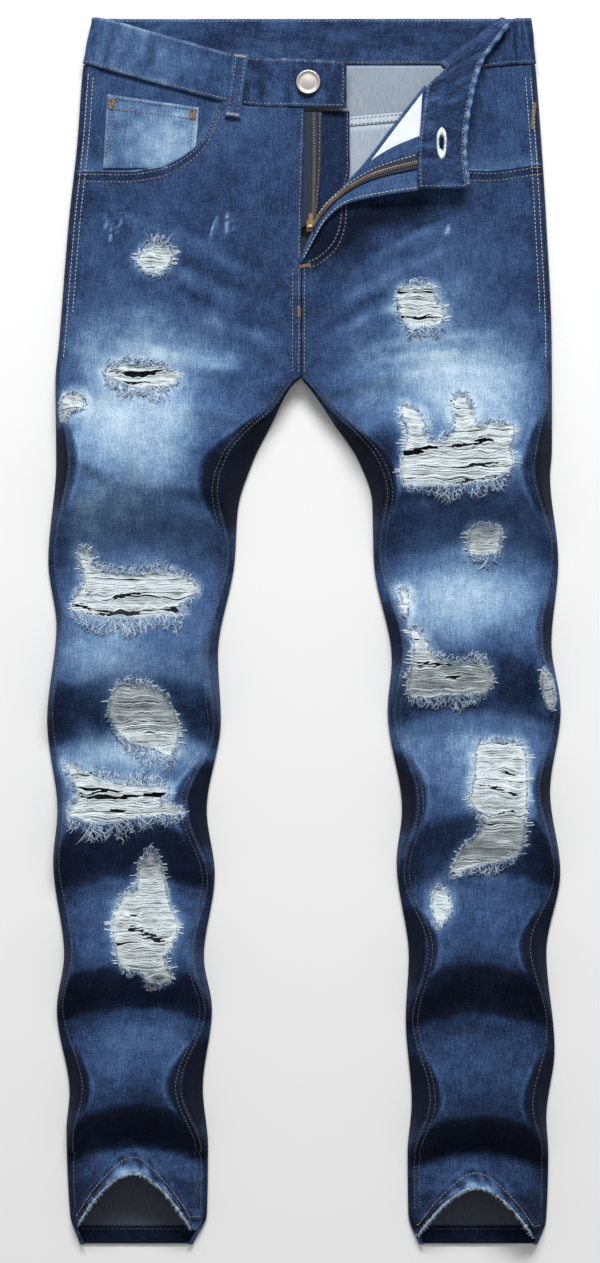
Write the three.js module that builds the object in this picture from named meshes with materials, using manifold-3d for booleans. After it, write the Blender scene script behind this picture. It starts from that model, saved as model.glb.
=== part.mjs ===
// Ripped jeans lying flat on their back, with the fly open and the wearer's left front folded outwards.
// Millimetres. X runs across the jeans (+X is the wearer's left side), Y along them (+Y is the waist)
// and Z up from the surface that they lie on. The origin is the middle of the underside.
// The legs lie in cross folds: at each fold the front rises into a crest and the side walls steepen.

import * as THREE from 'three';
import { mergeVertices } from 'three/addons/utils/BufferGeometryUtils.js';
import Module from 'manifold-3d';

const wasm = await Module();
wasm.setup();

// ---------------------------------------------------------------- driving dimensions

const LENGTH = 1009;          // waist edge to hem, as the jeans lie
const DENIM = 1.2;            // one layer of denim
const BAND = 2.8;             // folded waistband
const BAND_WIDTH = 38;
const GAP = 0.4;              // between two pieces that meet
const SEAM_GAP = 1.0;         // from a side seam to the edge of each panel
const HIP_HEIGHT = 12;        // middle of the front layer over the hips
const TROUGH = 5;             // middle of the front layer between two folds
const EDGE = 2.4;             // height of the rolled edge at the silhouette
const ROUND = 7;              // width of the rolled edge where the cloth lies low
const SEAM_ON_WALL = 0.35;    // how far up a side wall the seam lies
const SEAM_REACH = 9;         // and at most this far in from the silhouette
const BOW = 13;               // each crest bends towards the hem at its two ends
const POCKET_LIFT = 1.6;      // the back rests on its pockets and belt loops
const BUTTON_DIAMETER = 20;
const LOOP_WIDTH = 12;

const WAIST_Y = LENGTH / 2;
const HEM_Y = -LENGTH / 2;
const BAND_Y = WAIST_Y - BAND_WIDTH;   // seam of the waistband at the back
const CROTCH_Y = 209;
const CENTRE_X = -2;                   // centre seam of front and back
const FLY_FOOT_Y = 302;                // the fly opens above this

// Outlines are lists of [y, x] from the waist to the hem; a wave of the edge has a point at each extreme.
const RIGHT = {
  outward: -1,
  outer: [[504, -173], [466, -181], [402, -186], [337, -193], [238, -201], [205, -204], [139, -203.5],
    [58, -210], [5, -203.3], [-73, -211], [-147, -202.5], [-190, -206], [-266, -197], [-311, -203],
    [-380, -192.5], [-410, -195], [-480, -192], [-504, -184]],
  inner: [[CROTCH_Y, -3], [203, -10], [172, -26.5], [140, -42.6], [100, -55], [58, -57.6], [-20, -71.4],
    [-73, -69], [-147, -80.6], [-200, -74], [-268, -83], [-311, -76.3], [-376, -83.8], [-425, -79.5],
    [-480, -80.4], [-504, -92]],
  front: [[466, 1.5], [429, 0.8], [FLY_FOOT_Y, -2], [CROTCH_Y, -2]],
  crests: [
    { top: 125, foot: 58, height: 34, outerWall: 23, innerWall: 46 },
    { top: -31, foot: -87, height: 30, outerWall: 10, innerWall: 15 },
    { top: -151, foot: -207, height: 30, outerWall: 12, innerWall: 32 },
    { top: -268, foot: -313, height: 28, outerWall: 13, innerWall: 15 },
    { top: -384, foot: -426, height: 27, outerWall: 22, innerWall: 34 },
  ],
  hem: { peakX: -147, peakY: -442, sideY: -488, height: 30, outerWall: 42, innerWall: 60 },
};
// The left front is folded over along this line, as [y, x], from the waistband to the foot of the fly.
const FOLD_LINE = [[447, 100.5], [414, 74.5], [382, 50], [364, 33.6], [330, 9.8], [FLY_FOOT_Y, -2]];

const LEFT = {
  outward: 1,
  outer: [[504, 186], [466, 190], [402, 195], [337, 199], [238, 203.4], [150, 203.8], [128, 202.3],
    [58, 209], [-10, 203.4], [-65, 211], [-132, 202.3], [-198, 210.7], [-264, 199.2], [-344, 206],
    [-400, 199.2], [-430, 200.8], [-485, 199], [-504, 192]],
  inner: [[CROTCH_Y, -3], [203, 3], [172, 24.6], [140, 46], [107, 56.8], [58, 58.2], [-24, 73],
    [-65, 69.6], [-147, 81.4], [-190, 77], [-268, 87], [-319, 84.5], [-388, 89.4], [-430, 86],
    [-480, 86.6], [-504, 95]],
  front: [...FOLD_LINE, [CROTCH_Y, -2]],
  crests: [
    { top: 122, foot: 64, height: 34, outerWall: 30, innerWall: 28 },
    { top: -12, foot: -71, height: 30, outerWall: 18, innerWall: 19 },
    { top: -143, foot: -205, height: 31, outerWall: 19, innerWall: 24 },
    { top: -268, foot: -319, height: 28, outerWall: 28, innerWall: 28 },
    { top: -394, foot: -430, height: 27, outerWall: 26, innerWall: 27 },
  ],
  hem: { peakX: 146, peakY: -454, sideY: -490, height: 28, outerWall: 42, innerWall: 52 },
};

// Rips: middle of the hole, its width across the leg and its height along it.
const RIGHT_RIPS = [
  { x: -122, y: 307, width: 28, height: 18 },
  { x: -140, y: 209, width: 60, height: 12 },
  { x: -137, y: 31, width: 92, height: 38 },
  { x: -132, y: -71, width: 54, height: 40 },
  { x: -146, y: -136, width: 90, height: 34 },
  { x: -131, y: -232, width: 46, height: 84 },
];
const LEFT_RIPS = [
  { x: 96, y: 266, width: 36, height: 30 },
  { x: 126, y: 144, width: 86, height: 44 },
  { x: 150, y: 75, width: 24, height: 17 },
  { x: 120, y: -38, width: 58, height: 30 },
  { x: 155, y: -146, width: 46, height: 88 },
  { x: 113, y: -223, width: 18, height: 30 },
];

// Front pocket opening: its curved edge from the side seam up to the waistband, as [x, y].
const RIGHT_SCOOP = [[-190, 378], [-150, 377], [-118, 381], [-97, 391], [-79, 409], [-68, 436]];
const LEFT_SCOOP = [[197, 384], [150, 378], [117, 381], [96, 391], [79, 409], [72, 414]];
const SCOOP_LAP = 10;         // the facing runs this far under the pocket edge
const LAYER = 1.9;            // from the middle of one layer of denim to the next
const YOKE_SIDE_Y = 428;
const YOKE_CENTRE_Y = 412;

// ---------------------------------------------------------------- curves and heights

const lerp = THREE.MathUtils.lerp;
const clamp01 = (value) => THREE.MathUtils.clamp(value, 0, 1);
const smooth = (from, to, value) => THREE.MathUtils.smoothstep(value, from, to);

// Value at a place on a list of [place, value]: a smooth curve that never overshoots its points.
function along(points, place) {
  const rising = points[0][0] < points[points.length - 1][0];
  const list = rising ? points : [...points].reverse();
  const last = list.length - 1;
  if (place <= list[0][0]) return list[0][1];
  if (place >= list[last][0]) return list[last][1];
  const chord = (i) => (list[i + 1][1] - list[i][1]) / (list[i + 1][0] - list[i][0]);
  const slope = (i) => {
    if (i === 0) return chord(0);
    if (i === last) return chord(last - 1);
    const before = chord(i - 1);
    const after = chord(i);
    return before * after <= 0 ? 0 : (2 * before * after) / (before + after);
  };
  const i = list.findIndex((point, index) => index < last && place <= list[index + 1][0]);
  const span = list[i + 1][0] - list[i][0];
  const t = (place - list[i][0]) / span;
  const rise = list[i + 1][1] - list[i][1];
  const ease = t * t * (3 - 2 * t);
  return list[i][1] + ease * rise
    + span * (slope(i) * t * (1 - t) ** 2 - slope(i + 1) * t * t * (1 - t));
}

// Adds to a leg the curves that its folds make: crest height and the width of both side walls.
function shapeLeg(leg) {
  const wall = (key) => [
    [CROTCH_Y - 20, ROUND],
    ...leg.crests.flatMap((crest) => [
      [crest.top + 14, crest[key]],
      [crest.foot, ROUND],
    ]),
    [leg.hem.peakY, leg.hem[key]],
  ];
  return {
    ...leg,
    height: [
      [WAIST_Y, HIP_HEIGHT],
      [CROTCH_Y + 20, HIP_HEIGHT],
      ...leg.crests.flatMap((crest) => [[crest.top, crest.height], [crest.foot, TROUGH]]),
      [leg.hem.peakY, leg.hem.height],
    ],
    outerWall: wall('outerWall'),
    innerWall: wall('innerWall'),
  };
}

const wallRise = (t) => 1 - (1 - clamp01(t)) ** 2.2;
const lift = (y) => POCKET_LIFT * smooth(150, 190, y);
const belowCrotch = (y) => 1 - smooth(CROTCH_Y - 45, CROTCH_Y, y);

function innerEdge(leg, y, layer) {
  if (y <= CROTCH_Y) return along(leg.inner, y);
  return layer === 'front' ? along(leg.front, y) : CENTRE_X;
}

// Middle of the front layer above the point (x, y), with the folds and the side walls.
function frontHeight(leg, x, y) {
  const outer = along(leg.outer, y);
  const inner = innerEdge(leg, y, 'front');
  const across = clamp01((x - outer) / (inner - outer));
  const crest = along(leg.height, y + BOW * (2 * across - 1) ** 2 * belowCrotch(y));
  const outerRise = wallRise(Math.abs(x - outer) / along(leg.outerWall, y));
  const innerRise = wallRise(Math.abs(inner - x) / along(leg.innerWall, y));
  const edge = EDGE + lift(y);
  return edge + (crest - edge) * outerRise * lerp(1, innerRise, belowCrotch(y));
}

// The seams lie a little way up the walls; above the crotch the inner seam is the centre seam.
function seams(leg, y, layer) {
  const outer = along(leg.outer, y);
  const inner = innerEdge(leg, y, layer);
  const upWall = (wall) => Math.min(SEAM_ON_WALL * along(wall, y), SEAM_REACH);
  return {
    outer: outer - leg.outward * upWall(leg.outerWall),
    inner: inner + leg.outward * Math.max(belowCrotch(y) * upWall(leg.innerWall), GAP / 2),
  };
}

// ---------------------------------------------------------------- cloth solids

// A closed solid of even thickness around a grid of points in the middle of the cloth.
function clothSolid(rows, thickness) {
  const count = rows.length;
  const width = rows[0].length;
  const normals = rows.map((row, r) => row.map((point, c) => {
    const down = rows[Math.min(r + 1, count - 1)][c].clone().sub(rows[Math.max(r - 1, 0)][c]);
    const over = row[Math.min(c + 1, width - 1)].clone().sub(row[Math.max(c - 1, 0)]);
    return over.cross(down).normalize();
  }));
  const positions = [];
  for (const side of [0.5, -0.5]) {
    rows.forEach((row, r) => row.forEach((point, c) => {
      const placed = point.clone().addScaledVector(normals[r][c], side * thickness);
      positions.push(placed.x, placed.y, placed.z);
    }));
  }
  const under = count * width;
  const at = (r, c) => r * width + c;
  const index = [];
  const quad = (a, b, c, d) => index.push(a, b, c, a, c, d);
  for (let r = 0; r < count - 1; r += 1) {
    for (let c = 0; c < width - 1; c += 1) {
      quad(at(r, c), at(r, c + 1), at(r + 1, c + 1), at(r + 1, c));
      quad(under + at(r, c), under + at(r + 1, c), under + at(r + 1, c + 1), under + at(r, c + 1));
    }
  }
  const rim = [];
  for (let c = 0; c < width - 1; c += 1) rim.push(at(0, c));
  for (let r = 0; r < count - 1; r += 1) rim.push(at(r, width - 1));
  for (let c = width - 1; c > 0; c -= 1) rim.push(at(count - 1, c));
  for (let r = count - 1; r > 0; r -= 1) rim.push(at(r, 0));
  rim.forEach((a, i) => {
    const b = rim[(i + 1) % rim.length];
    quad(a, under + a, under + b, b);
  });
  const geometry = new THREE.BufferGeometry();
  geometry.setAttribute('position', new THREE.Float32BufferAttribute(positions, 3));
  geometry.setIndex(index);
  return outwards(geometry);
}

// Turns the faces round if they point inwards.
function outwards(geometry) {
  const p = geometry.getAttribute('position');
  const index = geometry.getIndex().array;
  const corner = (i) => new THREE.Vector3().fromBufferAttribute(p, index[i]);
  let volume = 0;
  for (let i = 0; i < index.length; i += 3) {
    volume += corner(i).dot(corner(i + 1).cross(corner(i + 2)));
  }
  if (volume < 0) {
    for (let i = 0; i < index.length; i += 3) {
      [index[i], index[i + 1]] = [index[i + 1], index[i]];
    }
  }
  geometry.computeVertexNormals();
  return geometry;
}

// A grid of points: place(across, down) gives the point, with across and down from 0 to 1.
function grid(columns, rows, place) {
  return Array.from({ length: rows + 1 }, (unused, r) => (
    Array.from({ length: columns + 1 }, (unusedToo, c) => place(c / columns, r / rows))));
}

// A flat piece with a given outline, laid on a surface that is a plane or close to one.
function patch(outline, thickness, surface) {
  const shape = new THREE.Shape(outline.map(([x, y]) => new THREE.Vector2(x, y)));
  const geometry = plain(new THREE.ExtrudeGeometry(shape, { depth: thickness, bevelEnabled: false }));
  const p = geometry.getAttribute('position');
  for (let i = 0; i < p.count; i += 1) {
    p.setZ(i, p.getZ(i) - thickness / 2 + surface(p.getX(i), p.getY(i)));
  }
  return outwards(geometry);
}

function plain(geometry) {
  geometry.deleteAttribute('normal');
  geometry.deleteAttribute('uv');
  return mergeVertices(geometry, 1e-4);
}

function toManifold(geometry) {
  return new wasm.Manifold(new wasm.Mesh({
    numProp: 3,
    vertProperties: new Float32Array(geometry.getAttribute('position').array),
    triVerts: new Uint32Array(geometry.getIndex().array),
  }));
}

function fromManifold(solid) {
  const mesh = solid.getMesh();
  const geometry = new THREE.BufferGeometry();
  geometry.setAttribute('position', new THREE.BufferAttribute(mesh.vertProperties, 3));
  geometry.setIndex(new THREE.BufferAttribute(mesh.triVerts, 1));
  geometry.computeVertexNormals();
  return geometry;
}

// A rip: a lens-shaped prism, pointed at both sides, that is cut out of a panel.
function ripCutter({ x, y, width, height }) {
  const shape = new THREE.Shape();
  shape.moveTo(-width / 2, 0);
  shape.bezierCurveTo(-width / 3, -height * 0.66, width / 3, -height * 0.66, width / 2, 0);
  shape.bezierCurveTo(width / 3, height * 0.66, -width / 3, height * 0.66, -width / 2, 0);
  const geometry = plain(new THREE.ExtrudeGeometry(shape, {
    depth: 60, bevelEnabled: false, curveSegments: 6,
  }));
  geometry.translate(x, y, TROUGH - 2);
  return toManifold(geometry);
}

const ripped = (geometry, rips) => fromManifold(
  rips.reduce((solid, rip) => solid.subtract(ripCutter(rip)), toManifold(geometry)));

// ---------------------------------------------------------------- legs

const rightLeg = shapeLeg(RIGHT);
const leftLeg = shapeLeg(LEFT);

// The hem of the front is drawn up in an arch, so the back shows under it.
function frontHemY(leg, x) {
  const { peakX, peakY, sideY } = leg.hem;
  const reach = Math.abs(x - peakX) / 55;
  return lerp(peakY, sideY, clamp01(reach) ** 1.6);
}

function frontPanel(leg, topEdge) {
  return clothSolid(grid(8, 50, (even, down) => {
    const across = lerp(even, (1 - Math.cos(Math.PI * even)) / 2, 0.8);   // closer at the walls
    const hemSeams = seams(leg, leg.hem.sideY, 'front');
    const hemX = lerp(hemSeams.outer, hemSeams.inner, across);
    const topSeams = seams(leg, topEdge.sideY, 'front');
    const topX = lerp(topSeams.outer, topEdge.innerX, across);
    const y = lerp(topEdge.at(topX), frontHemY(leg, hemX), down);
    const seam = seams(leg, y, 'front');
    const outer = seam.outer - leg.outward * SEAM_GAP;
    const inner = seam.inner + leg.outward * SEAM_GAP;
    const x = lerp(outer, inner, across);
    return new THREE.Vector3(x, y, frontHeight(leg, x, y));
  }), DENIM);
}

// Cross-section of the back: down one wall, over the floor and up the other wall.
function backRow(leg, y) {
  const outer = along(leg.outer, y);
  const inner = innerEdge(leg, y, 'back');
  const seam = seams(leg, y, 'back');
  const floor = DENIM / 2 + lift(y);
  const legPart = belowCrotch(y);
  const outerSeam = seam.outer + leg.outward * SEAM_GAP;
  const innerSeam = seam.inner - leg.outward * SEAM_GAP * legPart;
  const foot = 2.5;
  const innerFoot = inner + leg.outward * foot;
  const wallTop = lerp(floor, frontHeight(leg, innerSeam, y), legPart);
  const rolled = lerp(floor, EDGE + lift(y), legPart);
  const rolledX = lerp(inner + leg.outward * foot / 2, inner, legPart);
  return [
    [outerSeam, frontHeight(leg, outerSeam, y)],
    [outer, EDGE + lift(y)],
    [outer - leg.outward * foot, floor],
    [lerp(outer, inner, 0.33), floor],
    [lerp(outer, inner, 0.67), floor],
    [innerFoot, floor],
    [rolledX, rolled],
    [innerSeam, wallTop],
  ].map(([x, z]) => new THREE.Vector3(x, y, z));
}

function backPanel(leg, topAt) {
  const hem = HEM_Y;
  const rows = 50;
  return clothSolid(Array.from({ length: rows + 1 }, (unused, r) => {
    const down = r / rows;
    return backRow(leg, lerp(YOKE_SIDE_Y, hem, down)).map((point) => {
      const pulled = lerp(topAt(point.x) - YOKE_SIDE_Y, 0, clamp01(down * 6));
      return point.setY(point.y + pulled - GAP * (r === 0 ? 1 : 0));
    });
  }), DENIM);
}

const yokeY = (x) => lerp(YOKE_CENTRE_Y, YOKE_SIDE_Y, clamp01(Math.abs(x - CENTRE_X) / 180));

function yoke(leg) {
  return clothSolid(grid(6, 3, (across, down) => {
    const y = lerp(BAND_Y - GAP, YOKE_SIDE_Y, down);
    const row = backRow(leg, y);
    const x = lerp(row[1].x, row[6].x, across) - leg.outward * (1 - across);
    const floor = DENIM / 2 + lift(y);
    const edge = across === 0 ? 1.4 : 0;
    return new THREE.Vector3(x, lerp(BAND_Y - GAP, yokeY(x) + GAP, down), floor + edge);
  }), DENIM);
}

// ---------------------------------------------------------------- waistband

// A band given by places along it: [top edge x, y], [seam edge x, y] and the height of its middle.
// It starts at the button end, runs over the right front, round the right side, across the back and
// round the left side. There the left front is folded outwards: the band turns over at a slanting
// fold and ends with its inside up, at the buttonhole. It is joined at the side seams.
const BACK_Z = POCKET_LIFT + BAND / 2;
const FRONT_Z = HIP_HEIGHT + 0.8;
const STRIP_Z = FRONT_Z + 5;
const STRIP_END_Z = STRIP_Z + 7;
const BAND_PLACES = [
  [[35, 468], [35, 429.5], FRONT_Z],
  [[-6, 470], [-7, 430.5], FRONT_Z],
  [[-48, 472], [-49, 432], FRONT_Z],
  [[-110, 488], [-113, 447.5], FRONT_Z],
  [[-158, 501.5], [-165, 462], FRONT_Z],
  [[-169, 504], [-177, 465.5], FRONT_Z - 2],
  [[-173, 504.4], [-181, 466.3], (FRONT_Z + BACK_Z) / 2],
  [[-168, 504.5], [-175, BAND_Y], BACK_Z + 0.6],
  [[-158, 504.5], [-164, BAND_Y], BACK_Z],
  [[0, 504.5], [0, BAND_Y], BACK_Z],
  [[168, 504.5], [172, BAND_Y], BACK_Z],
  [[180, 504.4], [184, 466.3], BACK_Z + 0.6],
  [[186, 504.2], [190, 466.2], (FRONT_Z + BACK_Z) / 2],
  [[181, 503.5], [185, 466], FRONT_Z - 2],
  [[174, 503.3], [172, 465.5], FRONT_Z - 1.5],
  [[167, 500], [116, 461], FRONT_Z - 1.5],
  [[163, 503], [111.5, 465], (FRONT_Z + STRIP_Z) / 2 - 0.7],
  [[167, 499.5], [116, 460.5], STRIP_Z],
  [[145, 467], [101.5, 446.5], STRIP_Z + 1],
  [[136, 435], [97, 424], STRIP_Z + 3],
  [[131, 395], [93.5, 394], STRIP_Z + 5],
  [[134, 361.5], [93.5, 361.5], STRIP_END_Z],
];

const RIGHT_SIDE = 6;         // place number of each side seam
const LEFT_SIDE = 12;

// The stretch of the band between two places, with a small gap at each side seam.
function waistband(first, last) {
  const top = new THREE.CatmullRomCurve3(BAND_PLACES.map(([p, , z]) => new THREE.Vector3(...p, z)));
  const seam = new THREE.CatmullRomCurve3(BAND_PLACES.map(([, p, z]) => new THREE.Vector3(...p, z)));
  top.curveType = 'centripetal';
  seam.curveType = 'centripetal';
  const count = BAND_PLACES.length - 1;
  const gap = 0.3;
  return clothSolid(grid(2, (last - first) * 2, (across, down) => {
    const place = lerp(Math.max(first + gap, 0), Math.min(last - gap, count), down) / count;
    return top.getPoint(place).lerp(seam.getPoint(place), across);
  }), BAND);
}

const BUTTONHOLE = { x: 113, y: 399, width: 3, length: 24 };

function withButtonhole(geometry) {
  const hole = new THREE.BoxGeometry(BUTTONHOLE.width, BUTTONHOLE.length, 30);
  hole.translate(BUTTONHOLE.x, BUTTONHOLE.y, STRIP_END_Z + 4);
  return fromManifold(toManifold(geometry).subtract(toManifold(plain(hole))));
}

// ---------------------------------------------------------------- fronts

function bandSeamY(x) {
  return along([[-181, 466], [-165, 462], [-113, 447.5], [-49, 432], [-7, 430.5], [35, 429.5]], x);
}

const rightTop = {
  sideY: 378,
  innerX: 1,
  at: (x) => (x < RIGHT_SCOOP[5][0] ? along(RIGHT_SCOOP, x) : bandSeamY(x) - GAP - 0.4),
};
const leftTop = {
  sideY: 384,
  innerX: 74,
  at: (x) => along(LEFT_SCOOP, x),
};

// The piece that shows inside a pocket opening, from the side seam towards the fly.
function facing(leg, scoop, topAt, reach) {
  return clothSolid(grid(6, 5, (across, down) => {
    const side = along(leg.outer, 420) - leg.outward * 5;
    const x = side - leg.outward * reach * across;
    const y = lerp(topAt(x), Math.min(along(scoop, x), topAt(x) - 4) - SCOOP_LAP, down);
    return new THREE.Vector3(x, y, HIP_HEIGHT - LAYER - (across === 0 ? 1.6 : 0));
  }), DENIM);
}

// The left front turns over at its fold line and rises away from it.
const FOLD_FOOT = new THREE.Vector2(-2, FLY_FOOT_Y);
const FOLD_HEAD = new THREE.Vector2(100.5, 447);
const FOLD_AWAY = FOLD_HEAD.clone().sub(FOLD_FOOT).normalize().rotateAround(new THREE.Vector2(), -Math.PI / 2);
const FOLD_SLOPE = 0.2;
const FOLD_RADIUS = 1.3;
const FLAP_Z = HIP_HEIGHT + 2 * FOLD_RADIUS;

const distanceFromFold = (x, y) => new THREE.Vector2(x, y).sub(FOLD_FOOT).dot(FOLD_AWAY);

const flapSurface = (layer) => (x, y) => (
  FLAP_Z + FOLD_SLOPE * Math.max(distanceFromFold(x, y), 0) + layer);

// The rolled edge between the left front and its turned-over part: a half round with two short leaves.
function foldedEdge() {
  const leaf = 4;
  return clothSolid(grid(6, 10, (across, down) => {
    const y = lerp(FLY_FOOT_Y + 8, 432, down);
    const turn = lerp(-Math.PI / 2, Math.PI / 2, clamp01((across * 6 - 1) / 4));
    const flat = across === 0 || across === 1 ? leaf : 0;
    const away = FOLD_RADIUS * (1 - Math.cos(turn)) + flat;
    return new THREE.Vector3(
      along(FOLD_LINE, y) + FOLD_AWAY.x * away,
      y + FOLD_AWAY.y * away,
      HIP_HEIGHT + FOLD_RADIUS * (1 + Math.sin(turn)) + (across === 1 ? FOLD_SLOPE * away : 0));
  }), DENIM + 0.1);
}

// Outlines on the turned-over part, as [x, y]; each lies inside the one below it.
const FLAP = [[6, 309], [12.4, 328.5], [36, 362], [52.5, 380.5], [77, 412], [91.5, 430], [91, 394],
  [90.5, 362], [62, 357], [38, 352], [19, 337]];
const POCKET_BAG = [[58, 381.5], [80, 409], [90.5, 422], [90, 394], [90, 388]];
const FLY_FACING = [[35, 363], [51, 380.5], [89.5, 387], [90, 373], [60, 368], [40, 360]];
const ZIP_TAPE_LEFT = [[34, 357], [52, 372], [89.5, 384], [89.5, 373], [62, 367], [42, 357], [25, 342]];

// The whole left front is one piece: the panel, its rolled edge and the turned-over part.
function leftFront() {
  const flap = patch(FLAP, DENIM, flapSurface(0));
  const pieces = [frontPanel(leftLeg, leftTop), foldedEdge(), flap];
  return fromManifold(pieces.map(toManifold).reduce((solid, piece) => solid.add(piece)));
}

// ---------------------------------------------------------------- belt loops, pockets and fly

function bar(from, to, width, thickness, height) {
  const direction = new THREE.Vector2(to[0] - from[0], to[1] - from[1]);
  const geometry = new THREE.BoxGeometry(width, direction.length(), thickness);
  geometry.rotateZ(Math.atan2(direction.y, direction.x) - Math.PI / 2);
  geometry.translate((from[0] + to[0]) / 2, (from[1] + to[1]) / 2, height);
  return plain(geometry);
}

const LOOP = 1.2;
const LOOP_UNDER_Z = LOOP / 2;
const LOOP_OVER_Z = FRONT_Z + BAND / 2 + 0.4 + LOOP / 2;

function backPocket(x) {
  const half = 68;
  const top = 386;
  const outline = [[-half, top + 3], [half, top + 3], [half - 5, top - 110], [0, top - 142],
    [5 - half, top - 110]];
  return patch(outline.map(([dx, y]) => [x + dx, y]), DENIM, () => DENIM / 2);
}

const COIN_POCKET = [[-161, 441], [-88, 431], [-90, 402], [-104, 392], [-125, 383], [-162, 381]];

const SHIELD = [[5, 428], [38, 428], [37, 390], [33, 362], [22, 345], [12, 334], [4, 336]];
const TAPE_RIGHT = [[3.5, 426], [15, 426], [14, 380], [10, 338], [3.5, 336]];

function buttonShape() {
  const radius = BUTTON_DIAMETER / 2;
  const foot = FRONT_Z + BAND / 2 + 0.4;
  const profile = [[0, foot], [4.2, foot], [4.2, foot + 1.4], [radius - 1.2, foot + 1.4],
    [radius, foot + 2.4], [radius - 0.6, foot + 3.4], [radius - 2.4, foot + 3.8],
    [radius - 3.4, foot + 3.1], [3, foot + 3.1], [0, foot + 3.6]];
  const geometry = plain(new THREE.LatheGeometry(profile.map(([r, z]) => new THREE.Vector2(r, z)), 24));
  geometry.rotateX(Math.PI / 2);
  geometry.translate(3.5, 450, 0);
  return outwards(geometry);
}

// The slider stays at the foot of the open zip; its pull tab hangs from the bridge on a pin.
const SLIDER = { x: 5.6, y: 333, z: HIP_HEIGHT - 0.3, width: 6.6, length: 9, height: 1.6 };
const PIN = { y: SLIDER.y - 1, z: SLIDER.z + 3, radius: 0.7 };

function zipSlider() {
  const body = new THREE.BoxGeometry(SLIDER.width, SLIDER.length, SLIDER.height);
  body.translate(SLIDER.x, SLIDER.y, SLIDER.z);
  const lugs = [-1, 1].map((side) => {
    const lug = new THREE.BoxGeometry(0.9, 3, 3.4);
    lug.translate(SLIDER.x + side * 2.7, PIN.y, PIN.z - 0.8);
    return toManifold(plain(lug));
  });
  const pin = new THREE.CylinderGeometry(PIN.radius, PIN.radius, 5.4, 10);
  pin.rotateZ(Math.PI / 2);
  pin.translate(SLIDER.x, PIN.y, PIN.z);
  const slider = [...lugs, toManifold(plain(pin))].reduce(
    (solid, piece) => solid.add(piece), toManifold(plain(body)));
  return fromManifold(slider);
}

// The tab lies on the tape, from its collar round the pin towards the waist.
function zipPull() {
  const tabLength = 11;
  const half = 1.7;
  const thickness = 0.9;
  const collar = new THREE.Shape();
  collar.absarc(0, 0, PIN.radius + 1.1, 0, 2 * Math.PI, false);
  const eye = new THREE.Path();
  eye.absarc(0, 0, PIN.radius + 0.4, 0, 2 * Math.PI, true);
  collar.holes.push(eye);
  const ring = plain(new THREE.ExtrudeGeometry(collar, {
    depth: 2 * half, bevelEnabled: false, curveSegments: 8,
  }));
  ring.translate(0, 0, -half);
  ring.rotateY(Math.PI / 2);
  const outline = new THREE.Shape();
  outline.moveTo(-half, PIN.radius + 0.7);
  outline.lineTo(half, PIN.radius + 0.7);
  outline.lineTo(half, tabLength - half);
  outline.absarc(0, tabLength - half, half, 0, Math.PI, false);
  const tab = plain(new THREE.ExtrudeGeometry(outline, {
    depth: thickness, bevelEnabled: false, curveSegments: 5,
  }));
  tab.translate(0, 0, -thickness / 2);
  const geometry = fromManifold(toManifold(ring).add(toManifold(tab)));
  geometry.translate(SLIDER.x, PIN.y, PIN.z);
  return geometry;
}

// ---------------------------------------------------------------- the jeans

const denim = new THREE.MeshStandardMaterial({ color: 0x34507f, roughness: 0.9 });
const darkDenim = new THREE.MeshStandardMaterial({ color: 0x22355a, roughness: 0.9 });
const inside = new THREE.MeshStandardMaterial({ color: 0x93a4b5, roughness: 0.95 });
const whiteCotton = new THREE.MeshStandardMaterial({ color: 0xe8ecf0, roughness: 0.95 });
const tape = new THREE.MeshStandardMaterial({ color: 0x55483f, roughness: 0.85 });
const brass = new THREE.MeshStandardMaterial({ color: 0x8a6a48, roughness: 0.45, metalness: 1 });
const nickel = new THREE.MeshStandardMaterial({ color: 0xc9c3bf, roughness: 0.35, metalness: 1 });

const jeans = new THREE.Group();

function add(name, geometry, material) {
  const mesh = new THREE.Mesh(geometry, material);
  mesh.name = name;
  jeans.add(mesh);
}

add('front_right', ripped(frontPanel(rightLeg, rightTop), RIGHT_RIPS), denim);
add('front_left', ripped(leftFront(), LEFT_RIPS), denim);
add('back_right', backPanel(rightLeg, yokeY), darkDenim);
add('back_left', backPanel(leftLeg, yokeY), darkDenim);
add('yoke_right', yoke(rightLeg), inside);
add('yoke_left', yoke(leftLeg), inside);
add('waistband_right', waistband(0, RIGHT_SIDE), darkDenim);
add('waistband_back', waistband(RIGHT_SIDE, LEFT_SIDE), darkDenim);
add('waistband_left', withButtonhole(waistband(LEFT_SIDE, BAND_PLACES.length - 1)), darkDenim);
add('pocket_facing_right', facing(rightLeg, RIGHT_SCOOP, (x) => bandSeamY(x) - 1, 120), denim);
add('pocket_facing_left', facing(leftLeg, LEFT_SCOOP, () => 459, 70), denim);
add('coin_pocket', patch(COIN_POCKET, DENIM, () => HIP_HEIGHT - LAYER + DENIM + 0.4), denim);
add('pocket_bag_left', patch(POCKET_BAG, 0.8, flapSurface(1.7)), whiteCotton);
add('fly_facing', patch(FLY_FACING, 0.8, flapSurface(2.9)), denim);
add('zip_tape_left', patch(ZIP_TAPE_LEFT, 0.8, flapSurface(4.1)), tape);
add('fly_shield', patch(SHIELD, DENIM, () => 6), darkDenim);
add('zip_tape_right', patch(TAPE_RIGHT, 0.8, () => HIP_HEIGHT - LAYER), tape);
add('zip_slider', zipSlider(), brass);
add('zip_pull', zipPull(), brass);
add('button', buttonShape(), nickel);
add('belt_loop_front_right', bar([-52, 473], [-58, 424], LOOP_WIDTH, LOOP, LOOP_OVER_Z), denim);
add('belt_loop_back', bar([CENTRE_X, 503], [CENTRE_X, 458], LOOP_WIDTH, LOOP, LOOP_UNDER_Z), denim);
add('belt_loop_back_right', bar([-112, 503], [-112, 458], LOOP_WIDTH, LOOP, LOOP_UNDER_Z), denim);
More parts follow.
